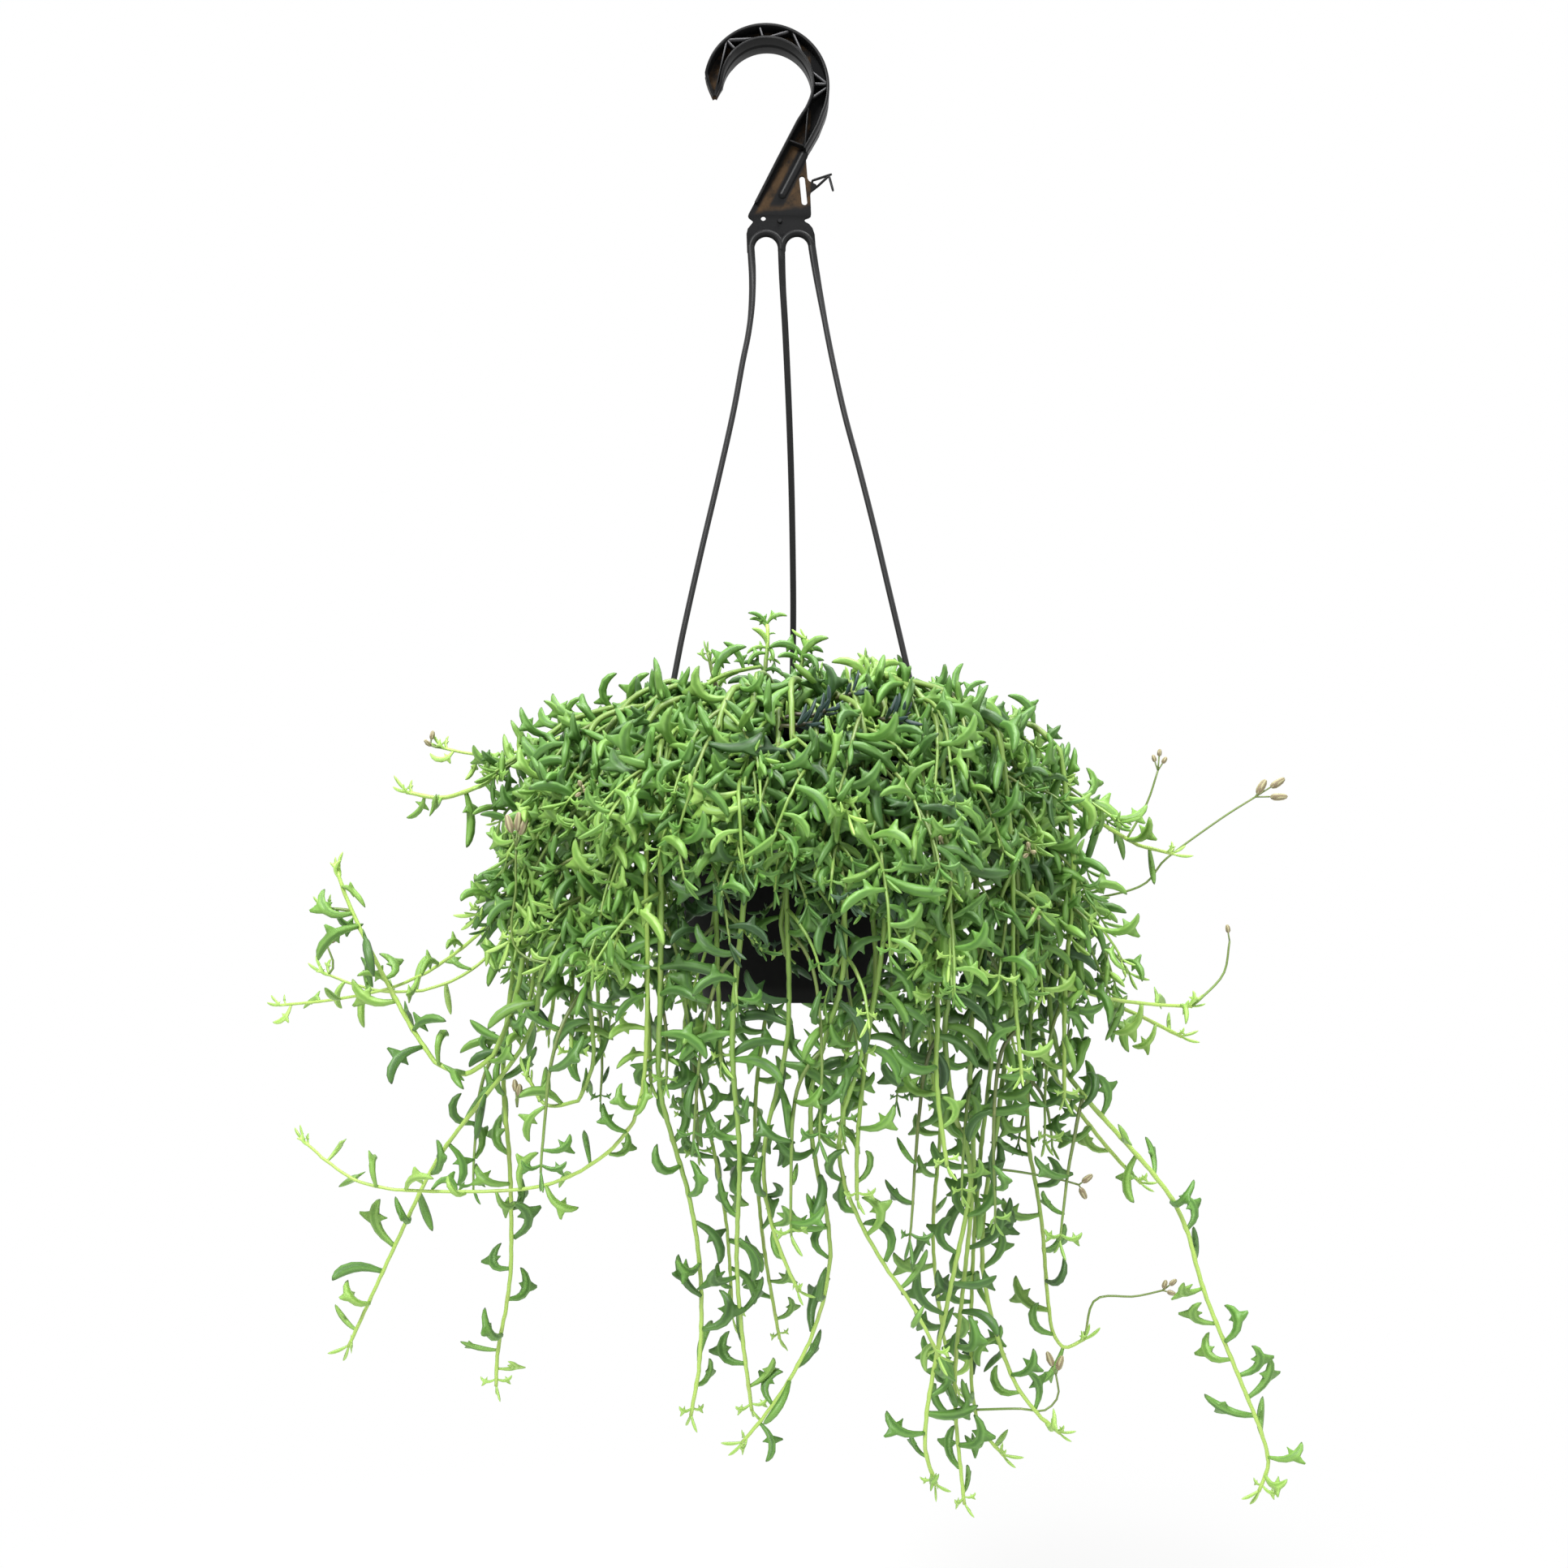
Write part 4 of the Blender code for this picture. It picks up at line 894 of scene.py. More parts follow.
# %% Web, flanges and ribs
def web_outline():
    """Round the web: the hook's tip, its outer arc, the shank, the hub and the inner arc."""
    outline = [(-23.1, -25.9), (-24.1, -26.4), (-25.2, -25.9), (-26.0, -24.4), (-27.6, -20.0),
               (-28.6, -17.0)]
    outline += arc(HOOK_OUTER, 166, -24, 72)
    outline += [(27.9, -42.5), (24.3, -49.0), (21.5, -53.6), (21.3, -55.0), (22.2, -66.4),
                (23.0, -67.8), (26.4, -69.4), (27.0, -70.4), (26.3, -71.4), (23.9, -73.2),
                (23.6, -74.4), (24.0, -84.0), (23.8, -85.2), (22.8, -86.0), (21.1, -86.5),
                (20.6, -87.3), (21.1, -88.1), (23.0, -89.2), (24.7, -91.2), (25.8, -94.4),
                (26.5, -103.2), (23.6, -103.2)]
    outline += arc((16.8, -101.2, 6.4), 0, 180, 28) + [(9.3, -102.9)]
    outline += arc((1.6, -101.2, 6.4), 0, 180, 28)
    outline += [(-5.0, -103.2), (-7.9, -103.2), (-8.2, -94.2), (-7.6, -91.6), (-5.8, -89.4),
                (-4.9, -88.2), (-5.2, -87.4), (-7.0, -86.0), (-7.4, -85.2), (-7.1, -84.2),
                (17.1, -38.3), (20.4, -35.4)]
    return outline + arc(HOOK_INNER, -27, 174, 72) + [(-20.9, -21.6)]


WEB_HALF = 0.9
FLANGE = 1.35
RIB = 0.75
slot = arc((19.5, -66.6, 1.4), 5, 175, 12) + arc((20.7, -78.4, 1.4), 185, 355, 12)
pin_hole = arc((0.2, -86.4, 1.25), 0, 345, 23)
parts = [plate("web", [web_outline(), slot, pin_hole], WEB_HALF, 0.25)]

outer_path = [(-24.5, -25.9), (-25.5, -23.6), (-27.0, -19.6)]
outer_path += arc(HOOK_OUTER, 165, -24, 72, FLANGE / 2)
outer_path += [(27.4, -42.3), (23.8, -48.8), (20.8, -53.8)]
inner_path = [(-23.7, -25.8), (-22.9, -24.2), (-21.7, -21.6)]
inner_path += arc(HOOK_INNER, 174, -20, 72, -FLANGE / 2)
inner_path += [(22.4, -32.6), (21.4, -34.6), (19.6, -37.2), (17.3, -40.6), (7.4, -58.8),
               (-1.9, -76.2), (-3.5, -79.3)]
for name, path, half, least in (("outer_flange", outer_path, 7.3, 0.55),
                                ("inner_flange", inner_path, 7.2, 0.38)):
    flange = wall(name, path, FLANGE, half)
    narrow(flange, least)
    parts.append(flange)


def on_arc(circle, angles, inset):
    """Points on an arc at the given angles, where ribs meet its flange."""
    return [arc(circle, angle, angle, 1, inset)[0] for angle in angles]


at_outer = on_arc(HOOK_OUTER, (129.5, 96.0, 67.5, 64.0, 3.4, 0.5), 1.0)
at_inner = on_arc(HOOK_INNER, (132.0, 94.5, 92.0, 36.5, 17.0, 1.0, -18.0), -0.6)
ribs = [(at_outer[0], at_inner[1]), (at_outer[0], at_inner[0]), (at_outer[0], (-24.0, -25.2)),
        (at_outer[1], at_inner[1]), (at_inner[2], at_outer[2]), (at_outer[3], at_inner[3]),
        (at_inner[4], at_outer[4]), (at_inner[5], at_outer[4]), (at_outer[5], at_inner[6]),
        ((22.5, -32.2), (20.9, -52.6)), ((12.9, -49.4), (21.0, -52.4))]
for i, (start, stop) in enumerate(ribs):
    rib = wall(f"rib_{i}", [start, stop], RIB, 6.8 - 0.07 * i)
    narrow(rib, 0.5)
    parts.append(rib)
print("web, flanges and ribs:", len(parts))

# %% Arches and the moulding's gate
# Each rod as (name, route in millimetres, radius, share of the radius left at its ends).
left_arch = [(-5.95, 0, -103.6)] + [(x, 0, z) for x, z in arc((1.6, -101.2, 7.6), 178, 2, 24)]
right_arch = [(24.7, 0, -103.2)] + [(x, 0.05, z) for x, z in arc((17.0, -101.0, 7.4), 2, 178, 24)]
RODS = [
    ("left_arch", left_arch + [(9.25, 0.1, -104.0)], 1.85, (0.3, 0.3)),
    ("right_arch", right_arch + [(9.5, 0.1, -104.0)], 1.80, (0.3, 0.3)),
    ("half_round", [(20.9, 0, -53.2), (16.4, 0, -62.0), (12.0, 0, -70.4), (8.6, 0, -76.8)], 2.3,
     (0.8, 0.25)),
    ("gate_mark", [(8.4, -1.9, -88.0), (8.4, 0.0, -88.0), (8.4, 1.9, -88.0)], 1.3, (0.7, 0.7)),
]
GATE = [((24.3, 0, -69.4), (24.7, -0.6, -67.4)), ((24.5, -0.5, -67.6), (34.3, -1.5, -64.8)),
        ((26.4, -0.2, -71.0), (33.0, -1.3, -65.4)), ((32.9, -1.4, -65.6), (34.9, -2.0, -73.4))]
for i, (start, stop) in enumerate(GATE):
    RODS.append((f"gate_{i}", [start, np.mean([start, stop], axis=0), stop], 0.62, (0.8, 0.8)))
parts += [rod(*values) for values in RODS]
print("rods:", len(RODS))

# %% Strands and their snap ends
POT_X = 14.0
CLIP_RADIUS = 72.2
RIM_MM = RIM_Z / MM
# Each strand as (direction of its clip from the pot's axis in degrees, route in millimetres).
STRANDS = [
    (210.0, [(-6.0, 0, -100.2), (-5.2, -1, -116), (-5.6, -3, -132), (-7.2, -5, -146),
             (-10.0, -7.5, -161), (-14.4, -12, -187), (-21.5, -17, -221), (-30, -23.5, -260),
             (-38, -30, -299), (-43, -33.5, -326), (-46.5, -35.4, -338)]),
    (330.0, [(24.4, 0, -100.2), (26, -1, -111), (28.6, -3, -127), (33.7, -7, -156),
             (40, -12, -187), (47, -16, -215), (54, -21, -245), (60.5, -26, -275), (67, -31, -305),
             (73.5, -34.8, -335)]),
    (90.0, [(9.2, 0, -100.2), (9.8, 2, -118), (11.3, 10, -141), (13.2, 25, -178),
            (14.5, 39, -214), (15.3, 52, -255), (15.4, 58.5, -280), (15, 66, -310),
            (14.2, 71, -335)]),
]
# The blocks of a snap end: the neck in the slot, the stop above the rim, the catch under it.
# Each is (size, lift of its middle above the rim).
SNAP_END = (((2.6, 4.4, 9.0), -1.4), ((3.2, 7.6, 2.2), 1.15), ((2.9, 7.2, 2.4), -3.05))


def bevelled_block(place, size, turn):
    """A block in millimetres with rounded edges, turned about the vertical."""
    block = primitive(bpy.ops.mesh.primitive_cube_add, size=1.0, location=[p * MM for p in place],
                      rotation=(0, 0, turn), scale=[side * MM for side in size])
    fresh_edit(block)
    bpy.ops.mesh.select_all(action="SELECT")
    bpy.ops.mesh.bevel(offset=0.0004, segments=2)
    bpy.ops.object.mode_set(mode="OBJECT")
    return block


for i, (angle, route) in enumerate(STRANDS):
    turn = math.radians(angle)
    out = np.array([math.cos(turn), math.sin(turn), 0.0])
    clip = out * CLIP_RADIUS + (POT_X, 0, 0)
    ends = [(clip[0], clip[1], RIM_MM + 2.5), (clip[0], clip[1], RIM_MM - 2.0)]
    line = smooth_line(np.array(route + ends), 2.5)
    broad = np.array([-out[1], out[0], 0.0])
    broad *= 1 if broad[0] > 0 else -1
    turned = np.clip(np.arange(len(line)) / 16, 0, 1)[:, None]
    across = np.array([1.0, 0, 0]) * (1 - turned) + broad * turned
    slim = np.clip(np.arange(len(line)) / 9, 0, 1)
    parts.append(swept(f"strand_{i}", line, 3.7 - 0.4 * slim, 3.7 - 1.3 * slim, across, 14, 0.62))
    parts += [bevelled_block((clip[0], clip[1], RIM_MM + lift), size, turn)
              for size, lift in SNAP_END]

hanger = joined("hanger_moulding", parts)
hanger.data.materials.append(hanger_plastic.material)
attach(hanger, "root")
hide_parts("hanger")

# %% [markdown]
# ## The pot
#
# The pot is a turned shape, so it starts as a small filled circle under the floor. The circle
# is extruded and resized along the profile: out to the foot, up the wall, round the rolled rim
# and down the inside to the floor again. The drain holes and the three slots that the hanger
# clips into are cut with a boolean.

# %% Pot shell
# From the underside's middle to the foot, up the wall, round the rim and down the inside.
POT_PROFILE = (
    (3.0, -469.2), (20.0, -469.2), (38.6, -469.2), (40.0, -469.8), (40.8, -474.4), (41.3, -475.0),
    (42.9, -475.0), (43.4, -474.4), (44.7, -467.4), (48.4, -453.0), (58.0, -414.0), (68.0, -372.2),
    (69.0, -371.0), (69.4, -368.0), (69.7, -351.0), (70.2, -350.0), (73.8, -350.0), (74.3, -350.6),
    (74.5, -352.2), (74.9, -352.6), (75.4, -352.2), (75.5, -348.8), (75.0, -348.2), (74.0, -348.0),
    (69.0, -348.0), (68.3, -348.5), (67.9, -350.2), (67.6, -369.6), (66.6, -371.2), (56.6, -412.6),
    (47.2, -449.6), (43.2, -466.2), (41.8, -468.0), (20.0, -468.0), (3.0, -468.0))


def turned(name, profile, axis, segments=120):
    """A closed shape turned about an upright axis: (radius, height) pairs in millimetres."""
    made = primitive(bpy.ops.mesh.primitive_circle_add, vertices=segments, fill_type="NGON",
                     radius=profile[0][0] * MM,
                     location=(axis[0] * MM, axis[1] * MM, profile[0][1] * MM))
    made.name = name
    fresh_edit(made)
    bpy.ops.mesh.select_mode(type="FACE")
    bpy.ops.mesh.select_all(action="SELECT")
    for (radius, height), (last_radius, last_height) in zip(profile[1:], profile):
        bpy.ops.mesh.extrude_region_move(
            TRANSFORM_OT_translate={"value": (0, 0, (height - last_height) * MM)})
        grow = radius / last_radius
        bpy.ops.transform.resize(value=(grow, grow, 1), center_override=(
            axis[0] * MM, axis[1] * MM, height * MM))
    bpy.ops.mesh.select_all(action="SELECT")
    bpy.ops.mesh.normals_make_consistent(inside=False)
    bpy.ops.object.mode_set(mode="OBJECT")
    return made


pot_shell = turned("pot_shell", POT_PROFILE, (POT_X, 0.0))
print("pot shell faces:", len(pot_shell.data.polygons))

# %% Drain holes and the slots of the snap ends
DRAIN_HOLES = 6
DRAIN_REACH = 30
DRAIN_RADIUS = 4
CLIP_SLOT = (2.9, 4.8, 8)


def round_pot(reach, turn, z):
    """A place at a reach in millimetres from the pot's axis."""
    return (POT_X + reach * math.cos(turn)) * MM, reach * math.sin(turn) * MM, z


cutters = []
for k in range(DRAIN_HOLES):
    place = round_pot(DRAIN_REACH, math.radians(60 * k + 15), -468.6 * MM)
    cutters.append(primitive(bpy.ops.mesh.primitive_cylinder_add, vertices=24,
                             radius=DRAIN_RADIUS * MM, depth=8 * MM, location=place))
for angle, _ in STRANDS:
    turn = math.radians(angle)
    cutters.append(primitive(bpy.ops.mesh.primitive_cube_add, size=1.0, rotation=(0, 0, turn),
                             location=round_pot(CLIP_RADIUS, turn, RIM_Z),
                             scale=[side * MM for side in CLIP_SLOT]))
only(*cutters)
bpy.ops.object.join()
holes = bpy.context.object
only(pot_shell)
bpy.ops.object.modifier_add(type="BOOLEAN")
cut = pot_shell.modifiers[-1]
cut.operation = "DIFFERENCE"
cut.solver = "EXACT"
cut.object = holes
bpy.ops.object.modifier_apply(modifier=cut.name)
bpy.data.objects.remove(holes, do_unlink=True)
bpy.ops.object.shade_smooth_by_angle(angle=math.radians(32))
pot_shell.data.materials.append(pot_plastic.material)
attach(pot_shell, "root")
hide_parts("pot")
print("pot faces with its holes:", len(pot_shell.data.polygons))

# %% [markdown]
# ## Loose crumbs on the soil
#
# A crumb is an ico sphere pulled out of round. Each copy gets its own turn, size and kind:
# most are peat or bark, and one in ten is white perlite.

# %% The pebble that every crumb copies
pebble = primitive(bpy.ops.mesh.primitive_ico_sphere_add, subdivisions=1, radius=1.0)
fresh_edit(pebble)
select_where(pebble, "verts", lambda co, _: co.x > 0.4)
bpy.ops.transform.resize(value=(1.25, 0.8, 0.9), center_override=(0, 0, 0))
select_where(pebble, "verts", lambda co, _: co.y < -0.5)
bpy.ops.transform.translate(value=(0.1, 0.12, 0.2))
bpy.ops.object.mode_set(mode="OBJECT")
pebble_points = mesh_points(pebble.data)
pebble_faces = [tuple(f.vertices) for f in pebble.data.polygons]
bpy.data.objects.remove(pebble, do_unlink=True)
print("pebble faces:", len(pebble_faces))

# %% Soil crumbs
CRUMBS = 340
CRUMB_REACH = 0.0625
PERLITE_SHARE = 0.10
PERLITE_SIZE = (0.0009, 0.0018)
BARK_SIZE = (0.0010, 0.0032)
CRUMB_SHAPE = (1.0, 0.75, 0.55)
crumb_rng = random.Random(7)
crumb_points, crumb_faces, crumb_tones = [], [], []
for k in range(CRUMBS):
    reach = CRUMB_REACH * math.sqrt(crumb_rng.random())
    turn = crumb_rng.uniform(0, 2 * math.pi)
    white = crumb_rng.random() < PERLITE_SHARE
    size = crumb_rng.uniform(*(PERLITE_SIZE if white else BARK_SIZE))
    angle = crumb_rng.uniform(0, 6.28)
    spin = Matrix.Rotation(angle, 3, Vector([crumb_rng.gauss(0, 1) for _ in range(3)]).normalized())
    shape = (pebble_points * size * CRUMB_SHAPE) @ np.array(spin)
    centre = (POT_AXIS[0] + reach * math.cos(turn), POT_AXIS[1] + reach * math.sin(turn),
              soil_high[2] + size * 0.25)
    crumb_faces += [tuple(v + k * len(pebble_points) for v in face) for face in pebble_faces]
    crumb_points.append(shape + centre)
    crumb_tones += [0.95 if white else crumb_rng.uniform(0.0, 0.8)] * len(pebble_points)
crumb_mesh = bpy.data.meshes.new("soil_crumbs")
crumb_mesh.from_pydata(np.vstack(crumb_points).tolist(), [], crumb_faces)
crumb_mesh.attributes.new("tone", "FLOAT", "POINT").data.foreach_set("value", crumb_tones)
crumb_mesh.materials.append(crumb_finish.material)
crumbs = linked("soil_crumbs", crumb_mesh)
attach(crumbs, "root")
print("crumbs:", CRUMBS)

# %% [markdown]
# ## Growing a plant piece
#
# One rooted stem with all that grows on it is one piece, as in nature. A growth collects the
# parts as arrays and becomes a mesh at the end, with a material for the leaves, one for the
# stems and one for the buds.

# %% A growth
LEAF_SKIN, STEM_SKIN, BUD_SKIN = range(3)


class Growth:
    """One plant piece: its parts as arrays until piece() makes them a mesh."""

    def __init__(self):
        self.points = []
        self.faces = []
        self.skins = []
        self.numbers = {"tone": [], "along": [], "height": []}
        self.count = 0

    def add(self, points, faces, skin, **numbers):
        """Add a part with its tone, along and height, each one number or one for every point."""
        self.points.append(points)
        self.faces += [tuple(v + self.count for v in face) for face in faces]
        self.skins += [skin] * len(faces)
        for key, value in numbers.items():
            self.numbers[key].append(np.broadcast_to(value, len(points)))
        self.count += len(points)

    def leaf(self, shape, base, out, up, length, tone, roll=0.0, girth=1.0):
        """A copy of a leaf: its stalk at base, its tip towards out, its back towards up."""
        model = LEAVES[shape]
        forward = unit(out)
        back = unit(up - forward * np.dot(up, forward))
        side = np.cross(back, forward)
        turned = back * math.cos(roll) + side * math.sin(roll)
        side = np.cross(turned, forward)
        scale = np.array([length, length * girth, length * girth])
        placed = (model["points"] * scale) @ np.stack([forward, side, turned]) + base
        self.add(placed, model["faces"], LEAF_SKIN, tone=tone, along=model["along"],
                 height=model["height"])

    def leaf_between(self, shape, base, tip, tone, girth=1.0, up=(0.0, 0.0, 1.0)):
        """A leaf from base to tip that bulges towards up, or away from it if bent upwards."""
        model = LEAVES[shape]
        end = model["points"][model["along"] > 0.99].mean(axis=0) * (1, girth, girth)
        chord = np.array(tip) - base
        length = np.linalg.norm(chord) / np.linalg.norm(end)
        chord = unit(chord)
        rise = unit(np.array(up) - chord * np.dot(up, chord))
        cos, _, sin = unit(end)
        out, back = chord * cos - rise * sin, chord * sin + rise * cos
        self.leaf(shape, np.array(base), out, back, length, tone, girth=girth)

    def tube(self, line, radii, tone, sides=7):
        """A round stem along a line, flat at both ends."""
        ahead = directions(line)
        across = np.cross(ahead[0], (0.3, 0.9, 0.31))
        points = []
        for i, place in enumerate(line):
            across = unit(across - ahead[i] * np.dot(across, ahead[i]))
            other = np.cross(ahead[i], across)
            for k in range(sides):
                angle = 2 * math.pi * k / sides
                spoke = across * math.cos(angle) + other * math.sin(angle)
                points.append(place + spoke * radii[i])
        share = np.repeat(np.linspace(0, 1, len(line)), sides)
        self.add(np.array(points), tube_faces(len(line), sides), STEM_SKIN,
                 tone=np.repeat(tone, sides), along=share, height=0.0)

    def bud(self, base, ahead, length, width, tone):
        """A copy of the ribbed bud: its foot at base, its point along ahead."""
        ahead = unit(ahead)
        across = unit(np.cross(ahead, (0.2, 0.5, 0.84)))
        axes = np.stack([across, np.cross(ahead, across), ahead])
        placed = (BUD["points"] * (width, width, length)) @ axes + base
        self.add(placed, BUD["faces"], BUD_SKIN, tone=tone, along=0.0, height=BUD["height"])

    def piece(self, name):
        mesh = bpy.data.meshes.new(name)
        mesh.from_pydata(np.vstack(self.points).tolist(), [], self.faces)
        for key, values in self.numbers.items():
            layer = mesh.attributes.new(key, "FLOAT", "POINT")
            layer.data.foreach_set("value", np.concatenate(values).astype(np.float32))
        for finish in (leaf_skin, stem_skin, bud_skin):
            mesh.materials.append(finish.material)
        mesh.polygons.foreach_set("material_index", self.skins)
        mesh.update()
        made = linked(name, mesh)
        only(made)
        bpy.ops.object.shade_smooth()
        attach(made, "root")
        return made


# %% [markdown]
# ## Directions and outlines
#
# Leaves are set by directions: up, away from the pot's axis, along the stem and square to it.
# What may grow where follows from outlines. The crown is a shallow dome with its highest shoots
# left of the middle, and the skirt of side branches ends at a ragged hem that is lowest in the
# middle. Both outlines are drawn as they look from the front, so a place in front of the middle
# plane is compared with them along the line of sight.

# %% Directions along a stem
UP = np.array([0.0, 0.0, 1.0])
STEM_STEP = 0.003
rng = random.Random(23)


def outward(place):
    """The level direction away from the pot's axis."""
    return unit(np.append(place[:2] - POT_AXIS, 0.0) + (1e-6, 0, 0))


def across_of(ahead, degrees):
    """A direction square to the stem, turned about it by an angle."""
    first = np.cross(ahead, UP)
    if np.linalg.norm(first) < 0.3:
        first = np.cross(ahead, (0.0, 1.0, 0.0))
    first = unit(first)
    turn = math.radians(degrees)
    return first * math.cos(turn) + np.cross(ahead, first) * math.sin(turn)


def ahead_at(line, node):
    return unit(line[node + 1] - line[node - 1])


def nearest(line, place):
    """The point of a line that is nearest to a place."""
    return line[np.argmin(np.linalg.norm(line - place, axis=1))]


def pot_reach(places):
    """How far places are from the pot's axis."""
    return np.linalg.norm(places[..., :2] - POT_AXIS, axis=-1)


def eased(value, start, length):
    """0 up to start, 1 from start + length on, and straight between them."""
    return np.clip((value - start) / length, 0, 1)


print("pot axis:", [round(v, 4) for v in POT_AXIS], "rim:", round(RIM_Z, 4))

# %% Outlines of the plant, in millimetres as seen from the front
EYE_LEVEL = -0.434
SKIRT_Z = -0.500
LOW_ENDS = -0.625
CROWN_TOP = (
    (-170, -404), (-140, -364), (-121, -346), (-105, -338), (-89, -331), (-56, -328), (-35, -322),
    (-22, -322), (-10, -326), (0, -332), (10, -324), (22, -320), (32, -312), (44, -308),
    (73, -310), (105, -319), (121, -330), (137, -350), (153, -360), (175, -388), (200, -402))
SKIRT_HEM = (
    (-170, -474), (-129, -490), (-105, -472), (-80, -478), (-56, -482), (-32, -490), (-8, -500),
    (16, -504), (40, -508), (65, -500), (90, -490), (113, -492), (137, -486), (161, -496),
    (185, -476), (220, -470))


def edge(curve, place):
    """The height of an outline at a place, drawn in towards eye level for a place in front."""
    scale = (EYE_DISTANCE + place[1]) / EYE_DISTANCE
    across, height = zip(*curve)
    seen = np.interp(place[0] / scale / MM, across, height) * MM
    return EYE_LEVEL + (seen - EYE_LEVEL) * min(scale, 1.0)


def seen_at(x, depth_mm, z):
    """The place at a depth that is seen where (x, z) in the middle plane would be."""
    scale = 1.0 + depth_mm * MM / EYE_DISTANCE
    return np.array([EYE_X + (x * MM - EYE_X) * scale, depth_mm * MM,
                     EYE_LEVEL + (z * MM - EYE_LEVEL) * scale])


def in_middle_plane(place):
    """Where a place is seen from the front, as (x, z) of the middle plane."""
    scale = (EYE_DISTANCE + place[1]) / EYE_DISTANCE
    return EYE_X + (place[0] - EYE_X) / scale, EYE_LEVEL + (place[2] - EYE_LEVEL) / scale


def dome_reach(place):
    """How far side branches spread from the pot's axis; it differs round the plant."""
    turn = math.atan2(place[1] - POT_AXIS[1], place[0] - POT_AXIS[0])
    low = np.clip((-0.40 - place[2]) / 0.08, 0, 1)
    return 0.148 + 0.010 * math.sin(3 * turn + 1) + 0.012 * math.sin(7 * turn + 2) + 0.012 * low


# Painted shade: how deep a place lies inside the dome, which darkens the leaves there.
def inner_shade(place):
    """From 0 on the outside of the dome to 1 well inside it, where leaves get painted shade."""
    inwards = (0.142 - pot_reach(place)) / 0.065
    below_top = (edge(CROWN_TOP, place) - place[2]) / 0.050
    return float(np.clip(min(inwards, below_top), 0, 1) * eased(place[2], -0.490, 0.030))


print("outline points:", len(CROWN_TOP) + len(SKIRT_HEM))

# %% [markdown]
# ## What has to stay clear
#
# A leaf can't grow through the pot or the soil. From the front, four things stay in view: the
# lower half of the pot, which the plant leaves half bare, a few openings in the crown with old
# growth in them, and the pale stems of five showy front trails. Nothing stands out further to
# the front than the measured trails do.

# %% Tests that keep places clear
FRONT_LIMIT = -0.146
POT_WINDOW = ((-0.050, 0.046), (-0.478, -0.412))
RIM_REACH = 0.0755
COLLAR_Z = -0.3535
FLOOR_Z = -0.467
FLOOR_REACH = 0.0446
WALL_SLOPE = 0.2458
# Openings in the crown that show its old growth, each (left, right, low, high) in millimetres.
OPENINGS = ((12, 36, -342, -328), (37, 52, -328, -317), (58, 68, -341, -328))
SHOWY = ("trail_front_left", "trail_front_mid_left", "trail_front_centre", "trail_front_crossing",
         "trail_front_right_a")
LANE_WIDTH = 0.0020
LANE_GAP = 0.0025


def inside_pot(place, spare=0.003):
    """True for a place in or against the pot's wall or the soil."""
    z = place[2]
    if z > RIM_Z + spare or z < pot_low[2] - spare:
        return False
    wall = FLOOR_REACH + (z - FLOOR_Z) * WALL_SLOPE
    return pot_reach(place) < (RIM_REACH if z > COLLAR_Z else wall) + spare


def before_pot(place):
    """True where the plant leaves the front of the pot half bare."""
    (left, right), (low, high) = POT_WINDOW
    return place[1] < 0 and left < place[0] < right and low < place[2] < high


def fills_opening(place):
    """True for a place that would hide an opening of the crown from the front."""
    x, z = in_middle_plane(place)
    return place[1] < -0.040 and any(left < x / MM < right and low < z / MM < high
                                     for left, right, low, high in OPENINGS)


LANES = np.array([(*in_middle_plane(place), place[1]) for name in SHOWY
                  for place in smooth_line(walked[name][0], STEM_STEP) if place[1] < -0.03])


def in_the_way(place):
    """True for a place that would hide an opening of the crown or a showy stem."""
    if fills_opening(place):
        return True
    x, z = in_middle_plane(place)
    beside = np.hypot(LANES[:, 0] - x, LANES[:, 1] - z) < LANE_WIDTH
    return bool(np.any(beside & (LANES[:, 2] > place[1] + LANE_GAP)))


print("openings:", len(OPENINGS), "points of showy stems:", len(LANES))

# %% [markdown]
# ## How the leaves sit
#
# Leaves alternate round the stem a finger's width apart. On the hanging stems the stalk leaves
# the stem downwards and the leaf swings up again, like a leaping dolphin. On the dome many
# leaves arch the other way and touch their neighbours, so the pot hardly shows. Leaves get
# smaller and paler towards the tip of a shoot, where a tuft of tiny ones sits.

# %% One leaf on a stem
HIGH_SHARES = {"arched": 30, "winged": 20, "smooth": 7, "rolled": 8, "leaping": 20, "fluked": 5,
               "diving": 6, "lance": 4}
LOW_SHARES = {"leaping": 42, "diving": 28, "hooked": 10, "fluked": 7, "arched": 8, "smooth": 5}
HIGH_MIX = [shape for shape, share in HIGH_SHARES.items() for _ in range(share)]
LOW_MIX = [shape for shape, share in LOW_SHARES.items() for _ in range(share)]
RISING = ("leaping", "diving", "hooked", "fluked")
SINK = 0.45
ATTEMPTS = 6
TURN_ON = 55
BARE_SHARE = 0.35
LOWEST_TONE = 0.15
GOLDEN_TURN = 137.5


def dome_lean(out, ahead, room, sinks):
    """On the dome a leaf lies flat, and rises where there is room above it."""
    forward = ahead * (1, 1, 0.4) * rng.uniform(-0.05, 0.35)
    rise = rng.uniform(-0.20, 0.05 + 0.45 * room) - sinks * (0.8 + 0.7 * room)
    return unit(out * (1, 1, 0.55) + forward + UP * rise)


def hanging_lean(out, ahead):
    """On a hanging stem a leaf leans down along the stem."""
    hanging = max(0.0, -ahead[2])
    forward = ahead * (0.30 * hanging + rng.uniform(-0.1, 0.3))
    return unit(out + forward + UP * rng.uniform(-0.15, 0.30) * hanging)


def is_free(spots):
    """True if a leaf through the spots hides nothing and grows through nothing."""
    bares_pot = before_pot(spots[-1]) and rng.random() < BARE_SHARE
    return not (bares_pot or any(spot[1] < FRONT_LIMIT or inside_pot(spot) or in_the_way(spot)
                                 for spot in spots))


